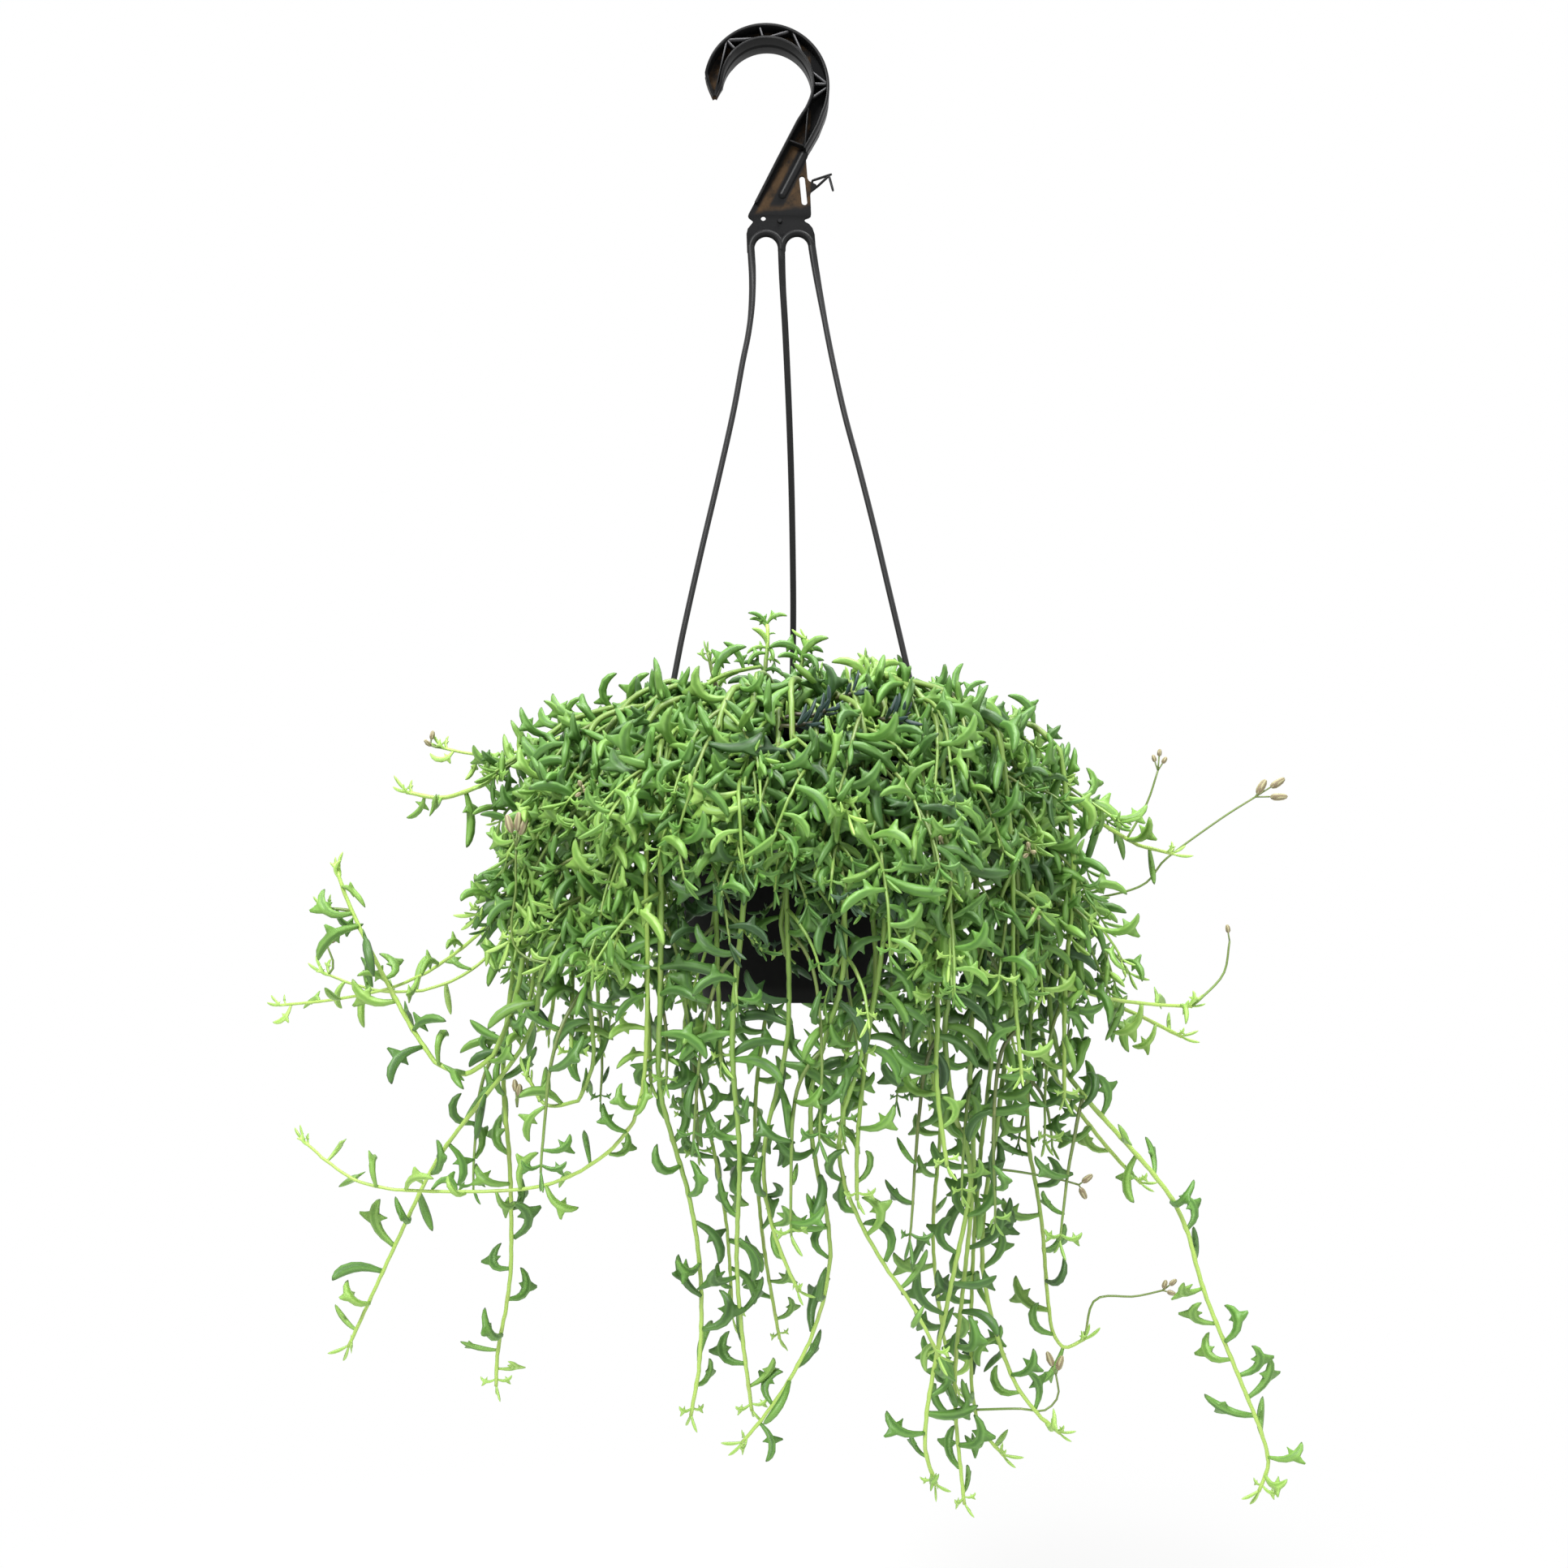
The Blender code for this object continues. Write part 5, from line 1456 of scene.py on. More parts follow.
def set_leaf(growth, place, ahead, degrees, length, tone, radius, dome, toward=None):
    """Try a leaf at an angle round the stem, and turn on until it is free."""
    shape = rng.choice(HIGH_MIX if dome else LOW_MIX)
    sinks = SINK if dome and shape in RISING else 0.0
    top = edge(CROWN_TOP, place)
    room = float(np.clip((top - place[2] - 0.010) / 0.030, 0, 1))
    for attempt in range(ATTEMPTS):
        out = across_of(ahead, degrees + TURN_ON * attempt)
        if toward is not None and not attempt:
            out = unit(toward)
        if dome:
            away = outward(place)
            out = unit(out - away * np.dot(out, away) * 0.45 + 1e-6)
            lean = dome_lean(out, ahead, room, sinks)
        else:
            lean = hanging_lean(out, ahead)
        base = place + out * radius * 0.5
        lean[2] = min(lean[2], (top - base[2]) / length - 0.25 - sinks * 0.6)
        if is_free([base + lean * length * share for share in (0.5, 0.75, 0.95)]):
            break
    else:
        return False
    lean = unit(lean)
    up = UP
    if abs(lean[2]) >= 0.8:
        up = unit(outward(place) * -1.0 + ahead * rng.uniform(-0.6, 0.6))
    girth = rng.uniform(0.84, 1.02) if dome else rng.uniform(0.80, 0.98)
    growth.leaf(shape, base, lean, up, length, tone, roll=rng.gauss(0, 0.4), girth=girth)
    return True


def shoot_tip(growth, place, ahead, tone=0.95, size=0.010, wide=0.9):
    """The tuft of tiny leaves that close round the growing point: two outer, two inner."""
    for k in range(4):
        shape, spread, back = ("leaping", wide, 0.004) if k < 2 else ("lance", 0.35, 0.001)
        side = across_of(ahead, GOLDEN_TURN * k + rng.uniform(-20, 20))
        growth.leaf(shape, place - ahead * back, side * spread + ahead + UP * 0.2, UP,
                    size * rng.uniform(0.75, 1.15), tone, roll=rng.gauss(0, 0.3), girth=0.85)


print("leaf shapes on the dome:", len(HIGH_SHARES), "on hanging stems:", len(LOW_SHARES))

# %% [markdown]
# ## Side branches
#
# Most of the dome is side branches. Each grows out from a leaf joint, gives way to its own
# weight and slides over the rim, and ends at the outline of the dome. In the middle of the crown
# a few old branches are left, whose narrow leaves have gone slate grey.

# %% A side branch
BRANCH_STEP = 0.0035
BRANCH_LEAF = 0.0255
OLD_STEM = 0.0010
OLD_LEAF = (0.009, 0.013)


def kept_clear(line, heading, place):
    """The next place of a branch, moved off the pot, the front limit and the crown's top."""
    if inside_pot(place, 0.006):
        place = place + outward(place) * 0.004
        heading = unit(place - line[-1])
    if place[1] < FRONT_LIMIT + 0.012:
        heading = unit(heading * (1, 0, 1) - UP * 0.2)
        place = line[-1] + heading * BRANCH_STEP
    if place[2] > edge(CROWN_TOP, place) - 0.010:
        heading = unit(heading * (1, 1, 0) - UP * 0.5)
        place = line[-1] + heading * BRANCH_STEP
    return heading, place


def branch_line(start, heading, length, droop, hangs):
    """The route of a branch, and its direction at the tip."""
    line = [start]
    turn = across_of(heading, rng.uniform(0, 360)) * 0.05
    for _ in range(max(4, int(length / BRANCH_STEP))):
        heading = heading + UP * -droop + turn * rng.uniform(0, 1)
        heading = unit(heading + np.array([rng.gauss(0, 0.03) for _ in range(3)]))
        heading, place = kept_clear(line, heading, line[-1] + heading * BRANCH_STEP)
        if not hangs and len(line) > 4 and (pot_reach(place) > dome_reach(place)
                                            or place[2] < edge(SKIRT_HEM, place) + 0.012
                                            or before_pot(place) and rng.random() < 0.20):
            break
        line.append(place)
    return np.array(line), heading


def branch(growth, start, heading, length, thick, tone, droop, leaf_size=BRANCH_LEAF, pitch=3,
           hangs=False):
    """A side branch that grows out and then gives way to its own weight."""
    line, heading = branch_line(start, unit(heading), length, droop, hangs)
    share = np.linspace(0, 1, len(line))
    growth.tube(line, thick * (1 - 0.45 * share), np.clip(tone - 0.22 + 0.22 * share, 0, 0.66), 6)
    side = rng.uniform(0, 360)
    made = 0
    for i in range(2, len(line) - 1, pitch):
        place = line[i]
        if before_pot(place) and rng.random() < 0.55 or fills_opening(place):
            continue
        near_tip = min(1.0, (len(line) - i) * BRANCH_STEP / 0.04)
        size = leaf_size * rng.uniform(0.85, 1.15) * (0.70 + 0.30 * near_tip)
        # Painted shade: leaves inside the dome and before the pot are painted darker.
        shade = (tone + rng.gauss(0, 0.09) + 0.14 * share[i] ** 2
                 - 0.20 * inner_shade(place) - 0.16 * before_pot(place))
        made += set_leaf(growth, place, ahead_at(line, i), side, size,
                         float(np.clip(shade, LOWEST_TONE, 1)), thick, not hangs)
        side += GOLDEN_TURN + rng.uniform(-20, 20)
    tip_tone = tone + (0.40 if rng.random() < 0.25 else rng.uniform(0.02, 0.14))
    # Painted shade: a tip before the pot is painted darker.
    tip_tone -= 0.30 * before_pot(line[-1])
    shoot_tip(growth, line[-1], heading, min(1.0, tip_tone), rng.uniform(0.008, 0.013))
    return made


# %% Old dark growth in the middle of the crown
# Branches of a trail, each as ((x, depth, z) as seen from the front, direction, length).
OLD_GROWTH = {
    "trail_front_centre": [((13, -92, -340), (1.0, -0.20, 0.10), 0.017),
                           ((24, -90, -335), (0.9, -0.2, 0.3), 0.013)],
    "trail_front_right_a": [((37, -72, -326), (0.8, -0.3, 0.2), 0.013),
                            ((57, -80, -337), (0.7, -0.3, 0.05), 0.014)],
}


def old_growth(growth, joint, start, heading, length):
    """A short old branch whose narrow leaves have gone slate grey and lie along it."""
    heading = unit(np.array(heading, dtype=float))
    bare = smooth_line(np.array([joint, (joint + start) / 2 + UP * 0.002, start]), BRANCH_STEP)
    leafy = np.array([start + heading * BRANCH_STEP * i
                      for i in range(1, int(length / BRANCH_STEP))])
    line = np.vstack([bare, leafy])
    growth.tube(line, np.full(len(line), OLD_STEM), np.zeros(len(line)), 6)
    for i in range(len(leafy)):
        for k in range(3):
            lean = heading * 0.8 + across_of(heading, 120 * k + 47 * i) * 0.8 + UP * 0.2
            growth.leaf("lance", leafy[i], lean, UP, rng.uniform(*OLD_LEAF), 0.0,
                        roll=rng.gauss(0, 0.5), girth=0.95)


print("old branches:", sum(len(places) for places in OLD_GROWTH.values()))

# %% [markdown]
# ## Leaves placed one by one
#
# The two highest shoots and the joints that stand out on the crown's outline are seen leaf by
# leaf, so theirs are listed one by one. Each leaf is x and z of its base, x and z of its tip, the
# depth of the tip, its shape, its tone and, where it doesn't bulge upwards, the way it bulges.
# Places are in millimetres as seen from the front, and a base takes its stem's depth.

# %% The placed leaves and their twigs
CROWN_LEAVES = {
    "shoot_tallest": [
        (3.2, -289.0, 4.4, -281.9, -6, "lance", 0.92),
        (3.2, -289.6, 12.0, -284.6, -9, "arched", 0.62),
        (2.4, -290.2, -7.4, -283.0, -8, "winged", 0.5),
        (2.0, -292.0, -6.6, -286.2, -4, "arched", 0.6),
        (1.6, -294.4, 6.3, -293.4, -8, "smooth", 0.6),
        (-0.6, -299.5, -5.4, -290.8, -10, "smooth", 0.85),
        (0.2, -301.0, -7.9, -303.4, -10, "winged", 0.72),
        (0.4, -301.5, 5.2, -307.4, -13, "smooth", 0.62),
        (-0.2, -303.6, -7.2, -309.2, -12, "arched", 0.56),
        (0.2, -305.4, 8.6, -308.6, -10, "winged", 0.66),
        (-0.8, -313.4, -11.0, -308.6, -10, "arched", 0.36),
        (-0.8, -312.0, 9.8, -314.6, -14, "arched", 0.34),
        (-1.2, -319.6, -17.4, -318.2, -12, "smooth", 0.26),
        (-1.0, -322.4, 9.6, -318.8, -14, "smooth", 0.24),
        (-1.4, -328.4, -17.6, -327.8, -14, "smooth", 0.24),
        (-1.2, -330.6, 8.0, -326.0, -18, "smooth", 0.22)],
    "shoot_second": [
        (17.8, -296.4, 14.4, -291.2, -8, "lance", 0.95),
        (18.0, -296.0, 18.6, -290.6, -6, "lance", 0.98),
        (18.4, -298.8, 21.8, -294.2, -8, "winged", 0.95),
        (18.8, -306.8, 32.6, -295.6, -12, "arched", 0.6),
        (19.0, -303.6, 30.0, -302.6, 2, "arched", 0.45),
        (19.2, -305.4, 27.2, -312.8, -16, "smooth", 0.38),
        (18.2, -304.2, 3.0, -300.6, -12, "arched", 0.46),
        (18.2, -306.8, 7.4, -305.2, -16, "winged", 0.52),
        (18.6, -311.0, 30.4, -306.6, -2, "winged", 0.4),
        (18.4, -312.6, 13.2, -322.6, -18, "arched", 0.34),
        (18.6, -313.2, 27.6, -321.4, -18, "arched", 0.32)],
    "trail_left_curl": [
        (-22.8, -314.8, -8.2, -300.2, -44, "arched", 0.46),
        (-10.4, -310.8, -19.6, -297.8, -38, "winged", 0.52),
        (-30.0, -319.5, -24.0, -336.0, -48, "arched", 0.5),
        (-34.0, -324.0, -46.0, -318.0, -46, "winged", 0.55)],
    "trail_left_shoulder": [
        (-74.5, -330.5, -72.6, -313.3, -30, "rolled", 0.52, (-1, 0, 0)),
        (-65.3, -329.4, -56.5, -313.3, -30, "arched", 0.56, (-1, 0, 0.4)),
        (-53.2, -328.6, -50.8, -317.3, -28, "fluked", 0.6, (1, 0, 0)),
        (-98.0, -338.0, -90.0, -325.5, -34, "arched", 0.55, (-1, 0, 0.3)),
        (-104.0, -341.0, -109.0, -327.0, -34, "arched", 0.62, (1, 0, 0.3)),
        (-112.0, -345.0, -121.0, -352.0, -34, "arched", 0.6, (0, 0, 1))],
    "trail_front_right_a": [
        (52.4, -319.2, 47.0, -303.4, -50, "winged", 0.78),
        (51.8, -319.4, 34.2, -308.0, -52, "arched", 0.74),
        (53.0, -319.0, 68.4, -309.0, -50, "arched", 0.76),
        (53.4, -319.6, 70.0, -318.0, -54, "arched", 0.72)],
    "trail_dome_07": [
        (100.5, -327.4, 99.6, -308.6, -60, "arched", 0.5, (-1, 0, 0.2)),
        (101.5, -327.8, 111.0, -318.0, -62, "arched", 0.46, (0.2, 0, 1))],
    "trail_dome_09": [
        (133.8, -339.2, 121.8, -324.4, -38, "arched", 0.42, (1, 0, 0.5)),
        (126.0, -337.0, 119.6, -327.0, -36, "arched", 0.46, (-1, 0, 0.3)),
        (114.0, -335.4, 108.0, -325.0, -33, "winged", 0.52, (0.4, 0, 1))],
    "trail_dome_01": [
        (-6.2, -345.0, -27.4, -340.6, -76, "winged", 0.62),
        (-5.8, -350.6, 16.0, -352.6, -78, "leaping", 0.66)],
    "trail_front_centre": [
        (5.6, -348.0, 9.4, -321.6, -76, "smooth", 0.24),
        (7.4, -349.5, 9.8, -332.8, -80, "lance", 0.34)],
}
# Short side stems that these leaves need, each as (route through (x, depth, z), tone).
TWIGS = {
    "trail_left_curl": [([(-36.0, -46, -329.0), (-29.0, -44, -320.0), (-19.0, -41, -314.0),
                          (-8.5, -30, -311.2), (-1.2, -13, -309.8)], 0.56)],
    "trail_front_right_a": [([(57.5, -54, -334.0), (54.6, -53, -326.0), (52.4, -52, -318.6)],
                             0.60)],
    "trail_dome_01": [([(-7.0, -72, -352.0), (-6.0, -73, -344.0)], 0.60)],
    "trail_front_centre": [([(8.0, -74, -352.0), (7.0, -75, -347.0)], 0.30)],
}
TWIG_RADIUS = 0.0013


def grow_twigs(growth, name, line):
    """The twigs of a stem; returns the points that a placed leaf can start from."""
    spots = [line]
    for places, tone in TWIGS.get(name, ()):
        route = [seen_at(*place) for place in places]
        spots.append(smooth_line(np.array([nearest(line, route[0])] + route), STEM_STEP))
        taper = np.linspace(1, 0.7, len(spots[-1]))
        growth.tube(spots[-1], TWIG_RADIUS * taper, np.full(len(taper), tone))
    return np.vstack(spots)


def place_leaves(growth, name, spots):
    """The placed leaves of a stem, each on the spot that is nearest to its base."""
    for x, z, tip_x, tip_z, tip_depth, shape, tone, *bulge in CROWN_LEAVES.get(name, ()):
        bases = np.array([seen_at(x, spot[1] / MM, z) for spot in spots])
        start = spots[np.argmin(np.linalg.norm(spots - bases, axis=1))]
        growth.leaf_between(shape, start, seen_at(tip_x, tip_depth, tip_z), tone,
                            up=bulge[0] if bulge else UP)


print("placed leaves:", sum(len(leaves) for leaves in CROWN_LEAVES.values()))

# %% [markdown]
# ## Growing one stem
#
# A trail is grown from its root to its tip. Its own leaves come first, with one wherever the
# measured trail has one, then the stem, which swells at each leaf joint, and then its branches:
# upright ones near the root, which fill the crown, drooping ones on the dome, and now and then
# a long one that hangs from it. A crown shoot has leaves in pairs and no branches.

# %% The stem and its own leaves
YOUNG_SHOOTS = ("trail_left_low_shoot", "trail_left_high_shoot", "trail_left_top_shoot",
                "trail_left_crossing")
YOUNG_RADIUS = 0.0012
STEM_RADIUS = (0.0014, 0.0017)
STEM_TAPER = 0.42
NODE_SWELLING = 1.12
WAVE = 0.00010
FIRST_NODE = 6
LEAF_LENGTH = (0.0235, 0.0295)
YOUNG_LEAF = 0.76


def stem_line(name):
    """A slightly wavy centre line; a shoot with placed leaves ends below the highest of them."""
    line = smooth_line(walked[name][0], STEM_STEP)
    if name.startswith("shoot_") and name in CROWN_LEAVES:
        line = line[line[:, 2] < CROWN_LEAVES[name][0][1] * MM]
    waves = [(math.sin(i * 2.1), math.cos(i * 1.7), 0) for i in range(len(line))]
    return line + np.array(waves) * WAVE


def stem_tones(line, shoot, young):
    """A stem is brown at its root, and pale green out in the light and low down."""
    if shoot:
        return eased(line[:, 2], -0.322, 0.032)
    share = np.linspace(0, 1, len(line))
    in_light = eased(pot_reach(line), 0.125, 0.030)
    low_down = np.clip((-line[:, 2] - 0.46) * 1.4, 0, 0.26)
    return np.clip(0.30 + 0.26 * share + 0.26 * young + low_down + 0.20 * in_light, 0, 0.78)


def leaf_tone(place, rest, young):
    """Leaves are paler near the tip; painted light makes them paler high up and outwards,
    and painted shade makes them darker inside the dome and before the pot.
    """
    # Painted light: leaves higher up and further from the pot's axis are painted paler.
    painted_top_light = float(eased(place[2], -0.40, 0.08))
    tone = 0.36 + 0.16 * eased(pot_reach(place), 0.07, 0.07) + rng.gauss(0, 0.10) + 0.18 * young
    tone += 0.10 * painted_top_light
    if rest < 0.05:
        tone += 0.28 * (1 - rest / 0.05)
    # Painted shade: leaves inside the dome and before the pot are painted darker.
    tone -= 0.20 * inner_shade(place) + 0.14 * before_pot(place)
    return float(np.clip(tone, LOWEST_TONE, 1))


def alternate_leaves(growth, name, line, radii, side, young):
    """Leaves that alternate along a trail; returns the nodes of the stem that carry them."""
    measured = {int(np.argmin(np.linalg.norm(line - base, axis=1))): tip - base
                for base, tip in walked[name][1]}
    leaf_nodes = []
    at = FIRST_NODE
    while at < len(line) - 2:
        place = line[at]
        ahead = ahead_at(line, at)
        near = [node for node in measured if abs(node - at) <= 2]
        toward = measured.pop(near[0]) if near else None
        rest = (len(line) - at) * STEM_STEP
        size = rng.uniform(*LEAF_LENGTH) * (1.0 if rest > 0.03 else 0.55 + 0.45 * rest / 0.03)
        size *= YOUNG_LEAF if young else 1.0
        high = place[2] > SKIRT_Z
        tone = leaf_tone(place, rest, young)
        if before_pot(place) and rng.random() < 0.38:
            at += 3
            continue
        if fills_opening(place) and place[1] < -0.06:
            at += 2
            continue
        if name in SHOWY and high and toward is None:
            right = across_of(ahead, 0) * (1 if across_of(ahead, 0)[0] > 0 else -1)
            hand = 1 if len(leaf_nodes) % 2 else -1
            toward = right * hand + outward(place) * rng.uniform(0.0, 0.5)
        if set_leaf(growth, place, ahead, side, size, tone, radii[at], high, toward):
            leaf_nodes.append(at)
        side += GOLDEN_TURN + rng.uniform(-18, 18)
        pitch = 4 if place[2] > SKIRT_Z - 0.07 else 5
        if high and not young or place[2] < LOW_ENDS:
            pitch = 3
        at += pitch + (rng.random() < 0.4)
    return leaf_nodes


def paired_leaves(growth, line, side):
    """The short leaves of a small crown shoot, nearly opposite each other."""
    for at in range(3, len(line) - 1, 2):
        out = unit(across_of(unit(line[at] - line[at - 1]), side) * (1, 0.6, 0.5))
        tip = line[at] + out * rng.uniform(0.010, 0.015) + UP * rng.uniform(-0.002, 0.005)
        growth.leaf_between(rng.choice(("arched", "winged", "smooth")), line[at], tip,
                            0.40 + 0.3 * at / len(line))
        side += 165 if at % 4 < 2 else 110


def arch_leaves(growth, line, radii):
    """More leaves over the top of a front trail, where it bends over the rim."""
    top = int(np.argmax(line[:, 2]))
    if line[top][1] > -0.01:
        return 0
    made = 0
    for node in (max(3, top - 2), top, top + 2, top + 4):
        if not fills_opening(line[node]):
            made += set_leaf(growth, line[node], ahead_at(line, node), rng.uniform(0, 360),
                             rng.uniform(0.020, 0.026), 0.42 + rng.gauss(0, 0.08), radii[node],
                             True)
    return made


print("young shoots:", len(YOUNG_SHOOTS))

# %% The branches of a stem
ROOT_NODES = (4, 7, 10, 13)
ROOT_BRANCH = 0.0012
SIDE_BRANCH = 0.0010


def root_branches(growth, line):
    """Short upright branches near the root."""
    made = 0
    for node in ROOT_NODES:
        if node < len(line) - 2:
            heading = UP * rng.uniform(0.4, 0.9) + outward(line[node]) * rng.uniform(-0.8, 0.4)
            heading = heading + across_of(UP, rng.uniform(0, 360)) * 0.6
            made += branch(growth, line[node], heading, rng.uniform(0.016, 0.028), ROOT_BRANCH,
                           rng.uniform(0.36, 0.60), 0.05, 0.022)
    return made


def dome_picks(line, leaf_nodes, young):
    """The joints that branch on the dome: any, then more at the front and left of the middle."""
    dome = [i for i in leaf_nodes if i > 10 and line[i][2] > edge(SKIRT_HEM, line[i]) + 0.030
            and line[i][2] < edge(CROWN_TOP, line[i]) - 0.006]
    left = [i for i in dome if line[i][1] < -0.03 and -0.050 < line[i][0] < -0.008
            and line[i][2] > -0.385]
    front = [i for i in dome if line[i][1] < -0.05 and abs(line[i][0]) < 0.09
             and line[i][2] > -0.44]
    groups = ((dome, 0 if young else 6), (front, 5), (left, 3))
    return [rng.choice(group) for group, count in groups for _ in range(count if group else 0)]


def dome_branches(growth, line, leaf_nodes, young):
    """Branches that droop over the dome."""
    made = 0
    for node in dome_picks(line, leaf_nodes, young):
        place = line[node]
        ahead = ahead_at(line, node)
        sideways = across_of(ahead, rng.uniform(0, 360)) * (1, 1, 0.3)
        heading = outward(place) * rng.uniform(0.2, 0.7) + sideways * 0.7 + ahead * 0.4
        made += branch(growth, place, heading, rng.uniform(0.030, 0.080), SIDE_BRANCH,
                       rng.uniform(0.34, 0.62), rng.uniform(0.06, 0.15),
                       pitch=rng.choice((2, 3, 3)))
    return made


def hanging_branches(growth, line, leaf_nodes):
    """Up to two long branches that hang from a trail, most often at the front."""
    nodes_below = [i for i in leaf_nodes if i > 10 and -0.540 < line[i][2] < -0.425
                   and i < len(line) - 6]
    in_front = line[-1][1] < 0 and -0.01 < line[-1][0] < 0.07
    count = rng.choice((0, 1, 2) if in_front else (0, 0, 1))
    made = 0
    for _ in range(count if nodes_below else 0):
        node = rng.choice(nodes_below)
        heading = across_of(UP, rng.uniform(0, 360)) + UP * -0.6
        made += branch(growth, line[node], heading, rng.uniform(0.040, 0.100), SIDE_BRANCH,
                       rng.uniform(0.30, 0.50), 0.22, 0.0250, 5, True)
    return made


# %% One whole stem
def grow_stem(name):
    """Grow one rooted stem with all that it carries; returns it and its number of leaves."""
    shoot = name.startswith("shoot_")
    young = name in YOUNG_SHOOTS
    line = stem_line(name)
    radius = YOUNG_RADIUS if young else rng.uniform(*STEM_RADIUS)
    radii = radius * (1.0 - STEM_TAPER * np.linspace(0, 1, len(line)))
    side = rng.uniform(0, 360)
    growth = Growth()
    place_leaves(growth, name, grow_twigs(growth, name, line))
    leaf_nodes = []
    if not shoot:
        leaf_nodes = alternate_leaves(growth, name, line, radii, side, young)
    elif name not in CROWN_LEAVES:
        paired_leaves(growth, line, side)
    made = len(leaf_nodes)
    radii[leaf_nodes] *= NODE_SWELLING
    growth.tube(line, radii, stem_tones(line, shoot, young))
    at_tip = unit(line[-1] - line[-3])
    if not shoot:
        shoot_tip(growth, line[-1], at_tip)
    elif name not in CROWN_LEAVES:
        shoot_tip(growth, line[-1], at_tip, 0.72, 0.009, 2.2)
    if not shoot and not young:
        made += arch_leaves(growth, line, radii) + root_branches(growth, line)
    made += dome_branches(growth, line, leaf_nodes, young)
    made += hanging_branches(growth, line, [] if young else leaf_nodes)
    for place, heading, length in OLD_GROWTH.get(name, ()):
        start = seen_at(*place)
        old_growth(growth, nearest(line, start), start, heading, length)
    return growth, made


# %% Grow every trail
leaf_total = 0
for name in trail_names:
    growth, made = grow_stem(name)
    piece = growth.piece("plant_" + name)
    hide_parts(name)
    leaf_total += made
print("stems:", len(trail_names), "leaves:", leaf_total)

# %% [markdown]
# ## Flower stalks
#
# The plant has just flowered. A flower stalk is a wiry brownish stem that leaves a leaf joint,
# bends upwards and carries one to three ribbed buds. Each stalk grows from the nearest joint of
# a named trail, so its first point is looked up and only the others are given.

# %% A flower stalk
STALK_RADIUS = 0.00052
BUD_SIZE = (0.0086, 0.0040)
STALK_STEP = 0.004
LONGEST_BUD_STALK = 0.012


def flower_stalk(growth, start, places, buds, bud_share):
    """A wiry stem through the places with buds that open from its end."""
    points = smooth_line(np.vstack([start, np.array(places) * MM]), STALK_STEP)
    radii = np.linspace(STALK_RADIUS * 1.3, STALK_RADIUS, len(points))
    growth.tube(points, radii, np.linspace(0.42, 0.20, len(points)), 5)
    length = BUD_SIZE[0] * bud_share
    for bud in buds:
        centre = np.array(bud) * MM
        ahead = centre - points[-1]
        if np.linalg.norm(ahead) > LONGEST_BUD_STALK:
            ahead = centre - nearest(points, centre)
        joint = centre - unit(ahead) * length / 2
        growth.tube(np.array([centre - ahead, joint]), np.full(2, STALK_RADIUS) * 0.8,
                    np.full(2, 0.2), 5)
        growth.bud(joint, ahead, length, BUD_SIZE[1] * (0.3 + 0.7 * bud_share), 0.5)


def flower_piece(piece_name, trail, places, buds, bud_share):
    """A stalk with its buds as one piece, from the nearest joint of its trail."""
    growth = Growth()
    line = smooth_line(walked[trail][0], STEM_STEP)
    start = nearest(line, np.array(places[0]) * MM)
    flower_stalk(growth, start, places, buds, bud_share)
    growth.piece(piece_name)


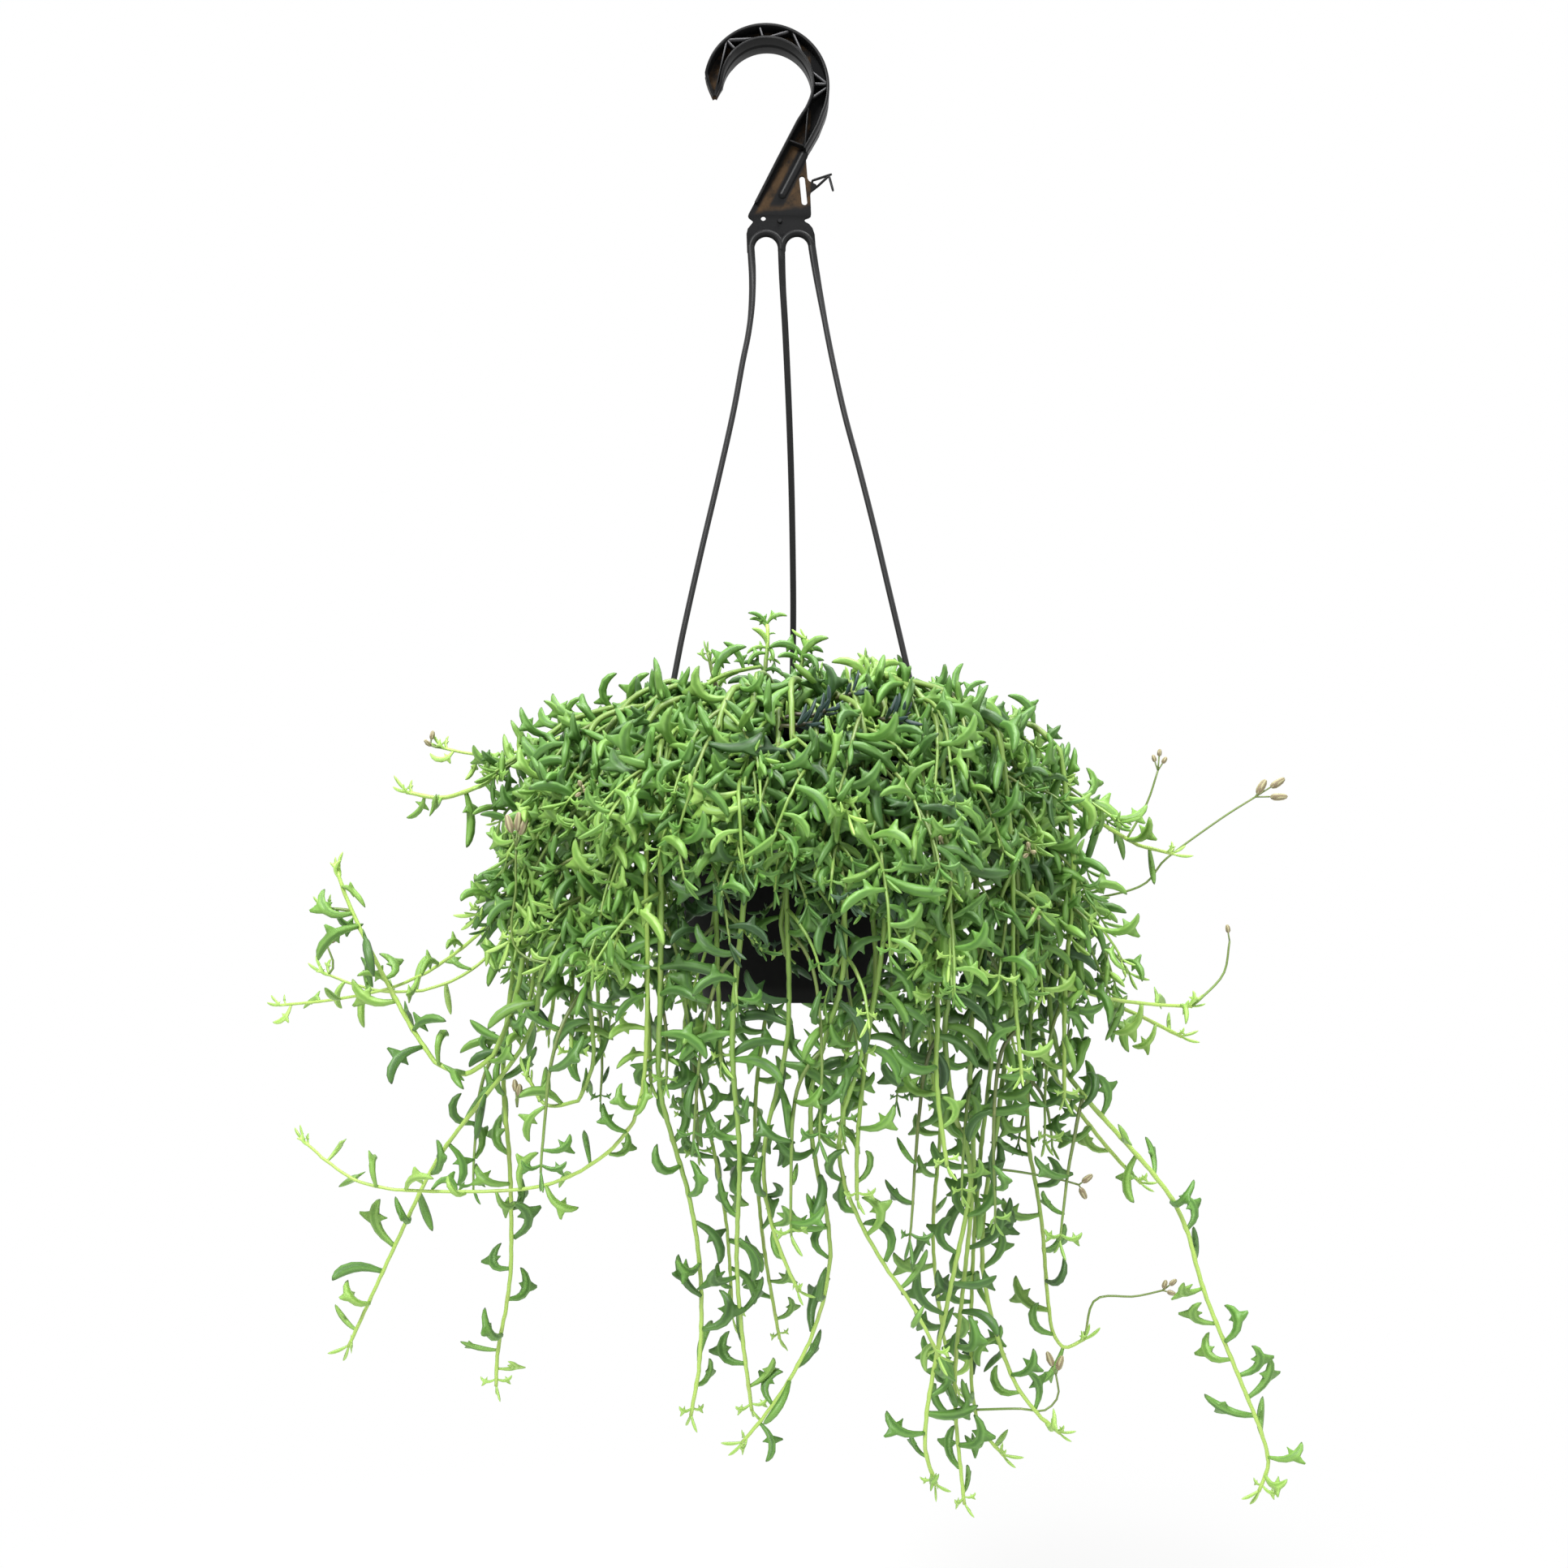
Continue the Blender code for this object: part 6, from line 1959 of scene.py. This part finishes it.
# %% Clusters of tiny buds right at a joint on the front of the dome
# Each as (piece, trail, foot, tip) in millimetres.
CLUSTERS = [
    ("flower_cluster_centre", "trail_front_right_a", (80, -101, -404), (78, -113, -405)),
    ("flower_cluster_right", "trail_front_right_c", (114, -64, -405), (120, -82, -406)),
    ("flower_cluster_low_right", "trail_front_right_c", (116, -60, -434), (123, -76, -435)),
    ("flower_cluster_left", "trail_left_curl", (-73, -92, -381), (-76, -108, -381)),
]
CLUSTER_BUDS = 4
for piece_name, trail, foot, tip in CLUSTERS:
    buds = [np.array(tip) + across_of(UP, 140 * k) * 1.9 + (0, -1.0, 1.6 * k - 1.5)
            for k in range(CLUSTER_BUDS)]
    flower_piece(piece_name, trail, [foot, tip], buds, 0.36)
print("flower clusters:", len(CLUSTERS))

# %% Long flower stalks
# Each as (trail, places of the stalk, places of its buds, size of the buds), in millimetres.
STALKS = [
    ("trail_right_level_b", [(186, 6, -420), (201, 2, -405), (226, -4, -386), (243, -6, -375)],
     [(246, -6, -370), (254, -6, -368), (254, -8, -375)], 1.0),
    ("trail_right_high_shoot", [(190, -4, -378), (195, -6, -362)],
     [(193, -6, -356), (198, -7, -357), (196, -5, -353)], 0.45),
    ("trail_right_level_a", [(214, -14, -474), (225, -14, -462), (228, -14, -446)],
     [(227, -14, -440)], 0.5),
    ("trail_front_left", [(-104, -92, -452), (-107, -94, -420), (-107, -94, -404)],
     [(-110, -94, -394), (-106, -95, -393), (-104, -94, -395)], 1.0),
    ("trail_right_straight", [(165, 0, -624), (184, -2, -622), (198, -2, -619)],
     [(203, -2, -615), (202, -3, -620), (199, -2, -616)], 0.55),
    ("trail_front_right_d", [(122, -30, -556), (140, -32, -559), (151, -32, -562)],
     [(155, -32, -559), (153, -32, -566)], 0.75),
    ("trail_front_right_c", [(124, -20, -672), (136, -20, -673), (143, -20, -666),
                             (142, -20, -656)], [(139, -20, -648), (144, -20, -650)], 0.9),
    ("trail_right_short", [(152, 4, -480), (157, 2, -479)],
     [(147, -4, -476), (150, -4, -474), (149, -6, -504)], 0.8),
    ("trail_left_curl", [(-112, -60, -516), (-112, -60, -522)],
     [(-113, -60, -512), (-111, -61, -514)], 0.7),
    ("trail_left_top_shoot", [(-162, -2, -350), (-165, -2, -349)],
     [(-164, -2, -344), (-166, -3, -348)], 0.55),
    ("trail_left_high_shoot", [(-216, 10, -458), (-219, 8, -448)],
     [(-219, 8, -444), (-216, 9, -446)], 0.4),
]
for trail, places, buds, bud_share in STALKS:
    flower_piece("flower_stalk_" + trail.removeprefix("trail_"), trail, places, buds, bud_share)
print("flower stalks:", len(STALKS))
